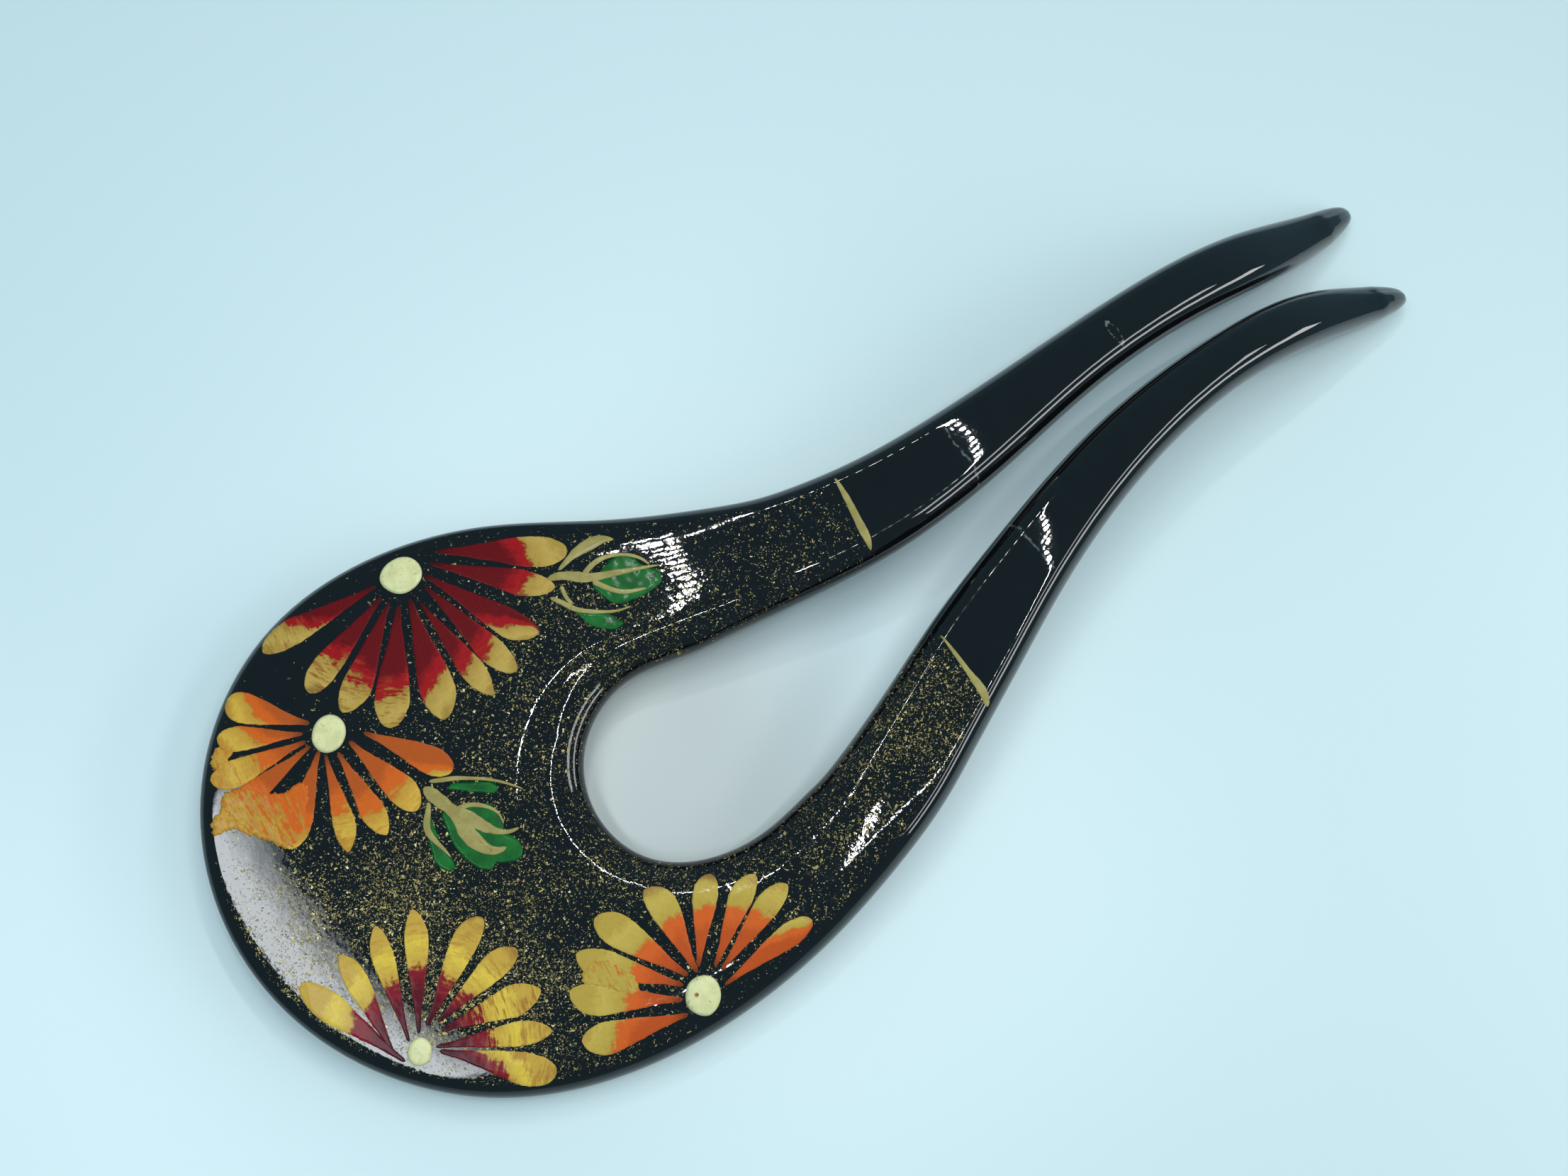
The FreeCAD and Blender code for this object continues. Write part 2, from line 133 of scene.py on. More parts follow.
# Petals from the dab outwards, left and right as seen from the dab
# Gold starts at a share of the length, and the slant brings it forward on the left side
# start_x, start_y, tip_x, tip_y, left, right, bend, gold_from, slant, point, brown, wrinkle
PETALS = {
    "red": (
        (30.4, 22.4, 40.1, 15.8, 1.48, 1.63, 0.1, 0.68, 0.08, 0.1, 0.0, 0.1),
        (29.4, 21.7, 37.4, 13.5, 1.03, 1.39, 0.0, 0.77, -0.02, 0.35, 0.1, 0.2),
        (28.5, 21.0, 34.0, 10.7, 0.84, 1.75, 0.0, 0.86, -0.24, 0.1, 0.1, 0.1),
        (28.0, 20.0, 30.6, 8.8, 0.94, 1.39, 0.05, 0.71, 0.04, 0.3, 0.1, 0.2),
        (26.9, 18.8, 27.8, 8.1, 1.03, 1.12, 0.0, 0.67, 0.06, 0.7, 0.2, 0.3),
        (26.3, 19.7, 23.3, 8.5, 1.75, 1.3, -0.1, 0.71, 0.1, 0.4, 0.3, 0.1),
        (25.2, 19.7, 19.1, 10.4, 1.56, 1.44, 0.0, 0.72, 0.05, 0.15, 0.1, 0.9),
        (24.6, 20.4, 16.5, 13.8, 1.62, 1.03, 0.0, 0.7, -0.05, 0.3, 0.3, 0.9),
        (24.4, 21.2, 15.0, 16.9, 1.05, 1.46, 0.0, 0.66, 0.02, 0.05, 0.7, 1.0),
        (24.5, 22.4, 13.5, 22.4, 0.93, 1.67, 0.1, 0.62, 0.16, 0.05, 0.4, 0.8),
    ),
    "orange": (
        (13.8, 14.5, 9.1, 20.4, 1.55, 1.1, 0.2, 0.66, 0.22, 0.0, 0.1, 0.1),
        (12.9, 14.0, 6.8, 17.7, 1.22, 1.0, 0.05, 0.58, 0.2, 0.1, 0.0, 0.3),
        (12.8, 13.3, 4.7, 14.7, 1.49, 0.97, 0.0, 0.5, 0.05, 0.05, 0.0, 0.7),
        (12.9, 12.7, 4.4, 10.9, 0.8, 1.45, 0.0, 0.72, 0.0, 0.05, 0.0, 1.0),
        (13.3, 12.0, 7.3, 6.0, 1.25, 1.1, 0.0, 0.86, 0.1, 0.15, 0.0, 0.6),
        (13.5, 11.3, 11.1, 3.1, 1.18, 0.72, 0.0, 0.56, 0.0, 0.75, 0.1, 1.0),
        (14.5, 11.0, 14.4, 2.6, 1.03, 1.03, 0.0, 0.7, 0.0, 0.65, 0.2, 0.6),
        (15.7, 11.3, 17.5, 3.0, 1.53, 1.01, 0.0, 0.68, 0.02, 0.35, 0.2, 0.4),
        (17.1, 11.3, 21.6, 4.3, 1.24, 1.17, 0.1, 1.02, -0.3, 0.0, 0.0, 0.1),
    ),
    "maroon": (
        (6.7, -13.7, 2.9, -3.9, 1.24, 1.03, 0.0, 0.47, 0.04, 0.3, 0.0, 0.1),
        (6.2, -12.9, 6.5, -3.7, 0.72, 1.13, -0.05, 0.48, 0.04, 0.5, 0.0, 0.2),
        (7.7, -12.6, 10.0, -3.3, 1.02, 0.79, 0.0, 0.5, 0.02, 0.6, 0.0, 0.3),
        (8.6, -12.5, 13.1, -3.8, 0.78, 1.19, 0.0, 0.52, 0.0, 0.6, 0.0, 0.3),
        (9.4, -12.4, 17.4, -7.5, 1.45, 0.75, 0.0, 0.4, -0.02, 0.05, 0.8, 0.5),
        (10.3, -12.6, 18.4, -11.3, 1.37, 0.88, 0.0, 0.36, 0.04, 0.25, 0.7, 0.6),
        (10.2, -13.3, 18.3, -15.1, 1.33, 1.23, 0.0, 0.36, 0.0, 0.65, 0.0, 1.0),
        (9.2, -14.1, 17.4, -18.3, 1.14, 0.87, 0.0, 0.47, 0.0, 0.65, 0.4, 0.7),
        (9.3, -14.5, 16.0, -21.2, 1.08, 1.42, 0.05, 0.46, 0.16, 0.0, 0.5, 0.6),
    ),
    "amber": (
        (27.1, -23.4, 18.9, -20.3, 1.5, 1.02, 0.0, 0.66, -0.1, 0.1, 0.1, 0.3),
        (27.4, -22.2, 20.1, -16.5, 1.68, 0.75, 0.0, 0.5, 0.02, 0.1, 0.0, 0.1),
        (28.0, -21.3, 22.1, -14.3, 1.45, 1.03, 0.0, 0.48, 0.02, 0.4, 0.1, 0.2),
        (28.7, -20.9, 24.9, -12.7, 1.25, 1.5, 0.0, 0.47, -0.04, 0.3, 0.2, 0.1),
        (29.4, -21.1, 29.6, -13.0, 0.7, 1.79, 0.0, 0.58, 0.0, 0.05, 0.9, 0.1),
        (29.8, -20.8, 34.9, -15.0, 1.3, 0.86, 0.0, 0.62, 0.02, 0.15, 0.9, 0.1),
        (30.9, -21.6, 37.9, -17.2, 1.38, 0.66, 0.0, 0.62, 0.04, 0.3, 0.7, 0.2),
        (31.2, -22.1, 39.6, -19.4, 1.3, 0.85, 0.0, 0.62, 0.04, 0.4, 0.9, 0.3),
        (30.8, -23.2, 39.7, -23.0, 1.09, 0.9, 0.05, 0.86, 0.3, 0.05, 0.3, 0.2),
    ),
}
# A petal's half width along it, before its round or pointed end: share_of_length, share_of_width
PETAL_WIDTHS = (
    (0.0, 0.14), (0.15, 0.25), (0.35, 0.52), (0.55, 0.80), (0.72, 0.99), (0.85, 1.06), (1.0, 1.06),
)
# Paint that runs together between petals, as closed outlines of x, y with its flower's name
RUN_TOGETHER = (
    ("orange", (
        (9.2, 10.4), (7.6, 11.6), (6.6, 12.6), (5.2, 13.1), (4.4, 12.1), (4.7, 10.7), (5.0, 9.4),
        (5.6, 8.3), (6.4, 7.4), (6.9, 6.4), (7.9, 6.0), (9.3, 7.0), (10.6, 8.6), (11.1, 10.0),
        (10.3, 10.5))),
    ("orange", (
        (4.9, 12.6), (4.0, 11.9), (3.3, 11.6), (2.8, 10.6), (3.5, 10.2), (4.4, 10.0), (5.3, 8.8),
        (5.2, 10.2), (4.6, 11.2))),
    ("orange", (
        (7.4, 16.2), (6.6, 16.9), (5.7, 16.6), (5.3, 15.8), (5.6, 15.1), (6.6, 15.3))),
    ("amber", (
        (24.2, -19.6), (22.4, -17.7), (21.3, -16.6), (21.9, -15.8), (23.3, -15.5), (24.5, -17.0),
        (25.2, -18.6))),
)

# Leaves as closed outlines of x, y
LEAVES = {
    "leaf_lobed": (
        (19.1, 1.7), (18.7, 0.3), (18.5, -0.8), (18.6, -2.1), (18.8, -3.0), (19.2, -3.9), (19.6, -4.3),
        (20.1, -4.6), (20.6, -4.3), (21.0, -4.6), (21.6, -4.9), (22.2, -5.1), (22.8, -4.9), (23.1, -4.2),
        (23.0, -3.5), (22.7, -2.9), (22.3, -2.5), (22.7, -2.1), (22.9, -1.4), (22.9, -0.7), (22.7, 0.2),
        (22.1, 0.6), (21.2, 1.0), (20.3, 1.2)),
    "leaf_short": (
        (20.5, 3.2), (21.2, 3.3), (22.9, 2.3), (23.8, 1.7), (24.0, 1.0), (23.6, 0.8), (23.0, 1.1),
        (21.3, 2.5)),
    "leaf_narrow": (
        (18.2, 2.2), (18.0, 1.3), (17.8, 0.2), (17.6, -0.3), (17.7, -1.0), (17.8, -2.2), (17.6, -2.9),
        (16.9, -2.6), (16.5, -1.5), (16.7, -0.7), (17.0, 0.4), (17.6, 1.6)),
    "leaf_near_prong": (
        (40.2, 11.8), (41.2, 12.4), (42.3, 12.8), (43.2, 13.0), (44.1, 12.7), (44.6, 12.0), (44.8, 11.2),
        (45.3, 10.4), (45.8, 9.6), (45.5, 8.8), (44.9, 8.6), (43.8, 8.5), (42.8, 8.7), (41.6, 8.9),
        (40.8, 9.5), (40.4, 10.6)),
    "leaf_by_opening": (
        (37.6, 10.7), (38.4, 10.0), (39.3, 9.4), (40.1, 8.7), (40.4, 7.9), (40.6, 7.4), (39.8, 7.3),
        (38.9, 7.9), (38.1, 8.8), (37.8, 9.8)),
}
# Gold brush lines for each solid, each line a row of x, y, width
GOLD_LINES = {
    "stem_lobed": (
        ((18.9, 4.4, 0.5), (19.1, 3.7, 1.0), (19.7, 1.9, 1.0), (20.0, 0.5, 1.15), (19.95, -0.9, 1.35),
         (20.2, -2.1, 1.2), (20.7, -3.1, 0.8), (21.4, -3.6, 0.55), (22.0, -3.7, 0.3)),
        ((20.1, 1.3, 0.9), (20.7, 0.1, 1.1), (21.3, -1.1, 0.95), (22.0, -2.1, 0.55), (22.8, -2.7, 0.35),
         (23.7, -2.9, 0.2)),
        ((20.2, 1.3, 0.4), (21.2, 1.05, 0.42), (22.0, 0.5, 0.34), (22.6, -0.2, 0.26), (22.9, -0.9, 0.2),
         (22.8, -1.9, 0.14)),
        ((18.6, 3.1, 0.3), (18.0, 2.2, 0.5), (17.4, 1.3, 0.6), (17.35, 0.3, 0.45), (17.6, -0.8, 0.3),
         (17.8, -1.9, 0.12)),
        ((19.6, 4.3, 0.15), (19.4, 3.8, 0.15)),
    ),
    "stem_short": (
        ((19.5, 4.6, 0.3), (20.5, 4.1, 0.4), (21.5, 3.6, 0.38), (22.4, 3.0, 0.3), (23.6, 2.1, 0.25),
         (24.7, 1.0, 0.2), (25.7, -0.3, 0.1)),
    ),
    "stem_near_prong": (
        ((37.2, 14.5, 0.5), (38.2, 14.2, 0.75), (39.1, 13.6, 0.9), (39.9, 12.9, 0.95), (40.7, 12.4, 0.8),
         (41.9, 11.9, 0.65), (43.6, 11.2, 0.45), (44.8, 10.7, 0.3), (46.1, 10.1, 0.15)),
        ((40.1, 13.1, 0.5), (41.5, 13.5, 0.5), (42.7, 13.4, 0.42), (43.6, 13.0, 0.35), (44.7, 12.1, 0.3),
         (45.2, 11.3, 0.25), (45.4, 10.6, 0.15)),
        ((40.4, 12.1, 0.5), (41.2, 10.8, 0.45), (42.1, 9.8, 0.4), (43.3, 9.2, 0.3), (44.0, 8.9, 0.15)),
    ),
    "stroke_near_prong": (
        ((38.5, 14.7, 0.3), (39.8, 15.1, 0.6), (40.9, 15.3, 0.95), (42.0, 15.3, 1.2), (42.9, 15.2, 1.0),
         (43.6, 14.9, 0.6), (44.1, 14.5, 0.2)),
    ),
    "stem_by_opening": (
        ((36.5, 12.9, 0.35), (37.2, 11.8, 0.45), (37.7, 10.9, 0.45), (38.6, 10.0, 0.4), (39.7, 9.2, 0.3),
         (40.8, 8.6, 0.22), (42.0, 8.3, 0.12)),
        ((37.9, 13.3, 0.3), (37.7, 12.3, 0.35), (37.8, 11.3, 0.3)),
    ),
    "band_upper": (
        ((63.8, 8.1, 0.2), (63.7, 7.1, 0.4), (63.5, 5.6, 0.6), (63.1, 3.3, 0.72), (62.9, 2.0, 0.75),
         (62.7, 0.7, 0.25)),
    ),
    "band_lower": (
        ((63.0, -9.3, 0.12), (63.0, -10.3, 0.25), (63.0, -12.0, 0.4), (63.0, -14.0, 0.6),
         (63.0, -15.4, 0.8), (62.7, -16.8, 0.5)),
    ),
}
# How high each kind of paint stands on the lacquer, and how far in its edge rounds over
PETAL_RELIEF, PETAL_ROUNDING = 0.07, 0.12
LEAF_RELIEF, LEAF_ROUNDING = 0.06, 0.18
LINE_RELIEF, LINE_ROUNDING = 0.06, 0.14
DAB_RELIEF, DAB_ROUNDING = 0.22, 0.16
PATCH_RELIEF, PATCH_ROUNDING = 0.12, 0.14
# Every stroke's edge stands a little over the lacquer, and its root reaches down into it
EDGE_RELIEF = 0.01
ROOT_DEPTH = 0.05
# A brush line over a leaf starts higher, and each later line of a sprig higher still
OVER_PAINT = 0.02
LINE_STEP = 0.012
# Unevenness: share of the width or height, size in millimetres
PETAL_EDGE_WAVE = (0.07, 1.7)
PETAL_EDGE_ROUGHNESS = (0.05, 0.35)
PETAL_FACE_WAVE = (0.22, 0.8)
PETAL_FACE_ROUGHNESS = (0.10, 0.3)
LINE_EDGE_WAVE = (0.12, 0.6)
PATCH_FACE_WAVE = (0.20, 0.7)
PATCH_EDGE_WAVE = (0.34, 0.3)
DAB_EDGE_WAVE = (0.05, 0.8)
# Shares of the length: where a petal's end starts to narrow, and the rounded starts and ends
PETAL_END_FROM = 0.66
PETAL_START = 0.04
LINE_END = 0.05
# The smallest half width, so that a stroke's ends stay open for their faces
THINNEST_PETAL = 0.012
THINNEST_LINE = 0.01
# How finely the strokes are meshed
PETAL_ROWS = 64
PETAL_COLUMNS = 17
LINE_COLUMNS = 9
LINE_ROW_LENGTH = 0.12
OUTLINE_SPACING = 0.11
PATCH_SPACING = 0.2
DAB_CORNERS = 16

# Gold dust under the lacquer: x, y, reach, amount
DUST = (
    (5.0, -2.0, 9.0, 0.75),
    (12.0, -9.0, 9.0, 0.60),
    (20.0, -6.0, 10.0, 0.45),
    (20.0, -19.0, 8.0, 0.40),
    (30.0, 5.0, 8.0, 0.42),
    (31.0, -14.0, 7.0, 0.35),
    (42.0, 6.0, 7.0, 0.40),
    (52.0, 6.0, 7.0, 0.24),
    (61.0, 4.0, 6.0, 0.16),
    (44.0, -19.0, 8.0, 0.42),
    (54.0, -16.0, 7.0, 0.46),
    (61.0, -13.0, 6.0, 0.46),
    (15.0, 8.0, 7.0, 0.12),
    (28.0, 15.0, 6.0, 0.24),
    (38.0, 12.0, 5.0, 0.16),
)
# The dust ends under the gold bands across the prongs, between these two X
DUST_END = (61.8, 63.4)
# The flakes come in three sizes: cells_per_mm, chance, size_in_cells
FLAKES = (
    (4.2, 0.52, 0.40),
    (7.5, 0.85, 0.42),
    (2.3, 0.12, 0.30),
)
# A brown speck on the amber flower's dab
AMBER_SPECK = (28.45, -22.55)
# The middle of the teardrop opening
OPENING = (38.0, -4.0)
# A looped scratch on the upper prong: x, y, half_length_x, half_length_y
SCRATCH = (95.35, 5.7, 0.42, 1.3)
# A faint pale line across each prong where its flat face ends is a painted highlight of the crease there
FACET_END_HIGHLIGHT_X = 75.45


def smooth_curve(places, values):
    """Return a function, for arrays too, that passes through the values with a smooth bend."""
    places = np.array(places, float)
    values = np.array(values, float)
    count = len(places)
    gap = np.diff(places)
    slope = np.diff(values) / gap
    system = np.eye(count)
    right = np.zeros(count)
    for i in range(1, count - 1):
        system[i, i - 1:i + 2] = gap[i - 1], 2 * (gap[i - 1] + gap[i]), gap[i]
        right[i] = 6 * (slope[i] - slope[i - 1])
    bend = np.linalg.solve(system, right)

    def value(place):
        place = np.asarray(place, float)
        i = np.clip(np.searchsorted(places, place) - 1, 0, count - 2)
        a = (places[i + 1] - place) / gap[i]
        b = 1 - a
        curved = (a ** 3 - a) * bend[i] + (b ** 3 - b) * bend[i + 1]
        return a * values[i] + b * values[i + 1] + curved * gap[i] ** 2 / 6

    return value


def column_curves(rows):
    """Return one smooth function of the first column for each further column."""
    columns = list(zip(*rows))
    return [smooth_curve(columns[0], column) for column in columns[1:]]


underside_at, thickness_at = column_curves(SIDE_VIEW)
section_curves = column_curves(SECTION_SHAPE)


def smooth_step(low, high, value):
    """Rise smoothly from 0 at low to 1 at high."""
    share = np.clip((np.asarray(value, float) - low) / (high - low), 0.0, 1.0)
    return share * share * (3 - 2 * share)


def tip_rings(row, tip):
    """Rings that shrink from a prong's last row to its tip."""
    outer = np.array(row[:2])
    inner = np.array(row[2:])
    middle = (outer + inner) / 2
    rings = []
    for step in range(1, TIP_RINGS + 1):
        left = (1 - step / (TIP_RINGS + 0.6)) ** 2.4
        place = middle + (np.array(tip) - middle) * (1 - left)
        scale = left ** TIP_BLUNTNESS
        half = (outer - inner) / 2 * scale
        rings.append((place + half, place - half, 0.0, scale))
    return rings


def ribbon_rings():
    """List the rings round the ribbon as outer point, inner point, way and scale."""
    table = np.array(RIBBON)
    middles = (table[:, :2] + table[:, 2:]) / 2
    along = np.concatenate([[0.0], np.cumsum(np.linalg.norm(np.diff(middles, axis=0), axis=1))])
    curves = [smooth_curve(along, column) for column in table.T]
    places = np.interp(
        np.arange((len(RIBBON) - 1) * RINGS_PER_ROW + 1) / RINGS_PER_ROW, np.arange(len(RIBBON)), along)
    rings = tip_rings(RIBBON[0], UPPER_TIP)[::-1]
    for place in places:
        x_out, y_out, x_in, y_in = [float(curve(place)) for curve in curves]
        way = 1 - abs(2 * place / along[-1] - 1)
        rings.append((np.array((x_out, y_out)), np.array((x_in, y_in)), way, 1.0))
    return rings + tip_rings(RIBBON[-1], LOWER_TIP)


# How many points each run of a ring has, in the order that section_outline makes them
RUN_POINTS = (12, 28, 12, 8, 5, 8)
# The softened outline is averaged from one with this many times the points
FINE_POINTS = 4


def section_outline(width, way, scale, x, parts):
    """A ring's outline as across, height and a face share, by parts that run from 0 to 1."""
    outer_inset, inner_inset, outer_turn, inner_turn, crown, drop = [
        float(curve(way)) for curve in section_curves]
    limit = LARGEST_INSET_SHARE * width
    outer_inset = min(outer_inset, limit)
    inner_inset = min(inner_inset, limit)
    low_inset = min(UNDERSIDE_INSET, limit)
    crown = crown * scale
    drop = max(drop, 0.0) * scale
    bottom = float(underside_at(x))
    thick = float(thickness_at(x))
    level = bottom + WIDEST_LEVEL * thick * (1 + scale) / 2
    low = level - WIDEST_LEVEL * thick * scale
    top = level + (1 - WIDEST_LEVEL) * thick * scale

    def corner(inset, turn, share):
        """How far back and up a rounded edge has come at a share of its turn."""
        full = math.radians(turn)
        angle = full * share
        return inset * (1 - np.cos(angle)) / (1 - math.cos(full)), np.sin(angle) / math.sin(full)

    inner_part, top_part, outer_part, low_outer_part, under_part, low_inner_part = parts
    inner_back, inner_rise = corner(inner_inset, inner_turn, inner_part)
    outer_back, outer_rise = corner(outer_inset, outer_turn, 1 - outer_part)
    low_outer_back, outer_fall = corner(low_inset, 90.0, low_outer_part)
    low_inner_back, inner_fall = corner(low_inset, 90.0, 1 - low_inner_part)
    across = inner_inset + top_part * (width - inner_inset - outer_inset)
    bulge = crown * 4 * top_part * (1 - top_part) - drop * top_part ** 3
    under = width - low_inset - under_part * (width - 2 * low_inset)
    return np.concatenate([
        (inner_back, level + inner_rise * (top - level), np.clip(2.0 * inner_part, 0, 1)),
        (across, top + bulge, 0 * across + 1),
        (width - outer_back, level + outer_rise * (top - drop - level), 0 * outer_back),
        (width - low_outer_back, level - outer_fall * (level - low), 0 * outer_fall),
        (under, low + 0 * under, 0 * under),
        (low_inner_back, level - inner_fall * (level - low), 0 * inner_fall),
    ], axis=1)


def run_parts():
    """Parts from 0 to nearly 1 for each run, closer together beside the two shoulders."""
    steps = [np.arange(count * FINE_POINTS) / (count * FINE_POINTS) for count in RUN_POINTS]
    inner_part, top_part, outer_part, *rest = steps
    top_part = 0.5 - 0.5 * np.cos(math.pi * top_part)
    return 1 - (1 - inner_part) ** 1.6, top_part, outer_part ** 1.6, *rest


def softened(outline, wanted):
    """Average an outline over a short distance either side of each wanted point."""
    closed = np.concatenate([outline, outline[:, :1]], axis=1)
    gaps = np.hypot(np.diff(closed[0]), np.diff(closed[1]))
    along = np.concatenate([[0.0], np.cumsum(gaps)])
    total = along[-1]
    reach = min(EDGE_SOFTNESS, total / 30)
    taps = np.linspace(-1, 1, 11)
    weights = np.cos(taps * math.pi / 2) ** 2
    weights /= weights.sum()
    places = (along[wanted] + taps[:, None] * reach) % total
    return np.stack([weights @ np.interp(places, along, row) for row in closed])


def new_mesh(name, points, faces, attributes):
    """A smooth-shaded object from plan points in millimetres, with one number a point each."""
    mesh = bpy.data.meshes.new(name)
    mesh.from_pydata([tuple(p) for p in np.asarray(points) * MM], [], faces)
    mesh.validate()
    mesh.polygons.foreach_set("use_smooth", [True] * len(mesh.polygons))
    for key, values in attributes.items():
        layer = mesh.attributes.new(key, "FLOAT", "POINT")
        layer.data.foreach_set("value", np.asarray(values, np.float32))
    mesh.update()
    piece = bpy.data.objects.new(name, mesh)
    bpy.context.scene.collection.objects.link(piece)
    return piece


def body_points():
    """Points, faces and each point's face share of the lacquered wood, in the plan's frame."""
    fine_parts = run_parts()
    wanted = np.arange(sum(RUN_POINTS)) * FINE_POINTS
    points = []
    face_shares = []
    for outer, inner, way, scale in ribbon_rings():
        width = float(np.linalg.norm(outer - inner))
        middle_x = (outer[0] + inner[0]) / 2
        outline = section_outline(width, way, scale, middle_x, fine_parts)
        across, height, face = softened(outline, wanted)
        # Heights follow each point's own place along the hairpin, as the wood's bend does
        shares = across / width
        x = inner[0] + shares * (outer[0] - inner[0])
        y = inner[1] + shares * (outer[1] - inner[1])
        thicker = thickness_at(x) / thickness_at(middle_x)
        z = underside_at(x) + (height - underside_at(middle_x)) * thicker
        points.append(np.stack([x, y, z], axis=1))
        face_shares.append(face)
    rings = len(points)
    size = len(points[0])
    faces = []
    for a in range(0, (rings - 1) * size, size):
        for i in range(size):
            j = (i + 1) % size
            faces.append((a + i, a + size + i, a + size + j, a + j))
    faces.append(tuple(range(size)))
    faces.append(tuple(range(rings * size - 1, (rings - 1) * size - 1, -1)))
    return np.concatenate(points), faces, np.concatenate(face_shares)


points, faces, face_share = body_points()
middle = (points.min(axis=0) + points.max(axis=0)) / 2
body_low, body_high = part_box("body")
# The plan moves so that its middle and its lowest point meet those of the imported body
shift = np.array([
    (body_low.x + body_high.x) / 2 / MM - middle[0],
    (body_low.y + body_high.y) / 2 / MM - middle[1],
    body_low.z / MM - points[:, 2].min(),
])
wood = BVHTree.FromPolygons([tuple(p) for p in points], faces)
ABOVE_THE_WOOD = 40.0


def heights_under(places):
    """Heights of the lacquer's top face under many plan places."""
    down = Vector((0.0, 0.0, -1.0))
    found = [wood.ray_cast(Vector((x, y, ABOVE_THE_WOOD)), down)[0] for x, y in places]
    known = [hit.z for hit in found if hit is not None]
    return np.array([min(known) if hit is None else hit.z for hit in found])


def uneven(wave, x, y, seed):
    """Soft unevenness at many places, by its amount and its coarseness in millimetres."""
    amount, size = wave
    return amount * np.array([
        noise.noise(Vector((a / size + 17.3 * seed, b / size - 9.1 * seed, seed)))
        for a, b in np.broadcast(x, y)])


class Relief:
    """Closed strokes of paint on the lacquer that make up one piece."""

    def __init__(self):
        self.points = []
        self.faces = []
        self.numbers = {}

    def add(self, xy, height, faces, rim, numbers):
        """Add a stroke: plan points, heights over the lacquer, top faces and the rim in order."""
        count = len(xy)
        start = len(self.points)
        ground = heights_under(xy)
        self.points += [(x, y, z + h) for (x, y), z, h in zip(xy, ground, height)]
        self.points += [(x, y, z - ROOT_DEPTH) for (x, y), z in zip(xy, ground)]
        self.faces += [tuple(start + i for i in face) for face in faces]
        self.faces += [tuple(start + count + i for i in reversed(face)) for face in faces]
        for a, b in zip(rim, rim[1:] + rim[:1]):
            self.faces.append((start + b, start + a, start + count + a, start + count + b))
        for key, values in numbers.items():
            self.numbers.setdefault(key, []).extend(list(np.broadcast_to(values, count)) * 2)


def brush_grid(spine, left, right, along_count, across_count):
    """Plan points of a stroke, each with its shares along and across and its offset."""
    u = np.linspace(0, 1, along_count)
    step = 1e-3
    run = spine(np.minimum(u + step, 1)) - spine(np.maximum(u - step, 0))
    normal = np.stack([-run[:, 1], run[:, 0]], axis=1) / np.linalg.norm(run, axis=1)[:, None]
    v = np.sin(np.linspace(-math.pi / 2, math.pi / 2, across_count))
    offset = v * np.where(v > 0, left(u)[:, None], right(u)[:, None])
    xy = spine(u)[:, None] + normal[:, None] * offset[:, :, None]
    along, across = np.broadcast_arrays(u[:, None], v)
    return xy.reshape(-1, 2), along.ravel(), across.ravel(), offset.ravel()


def grid_faces(rows, columns):
    """Faces of a grid of points and the order of the points round its rim."""
    faces = []
    for i in range(rows - 1):
        for j in range(columns - 1):
            a = i * columns + j
            faces.append((a, a + columns, a + columns + 1, a + 1))
    bottom = list(range(columns))
    right_side = [i * columns + columns - 1 for i in range(1, rows)]
    top = list(range((rows - 1) * columns + columns - 2, (rows - 1) * columns - 1, -1))
    left_side = [i * columns for i in range(rows - 2, 0, -1)]
    return faces, bottom + right_side + top + left_side


def rounded_edge(distance, soft):
    """Share from 0 to 1 that rises in a quarter circle over the soft distance."""
    share = np.clip(distance / soft, 0, 1)
    return np.sqrt(1 - (1 - share) ** 2)


petal_width = smooth_curve(*zip(*PETAL_WIDTHS))


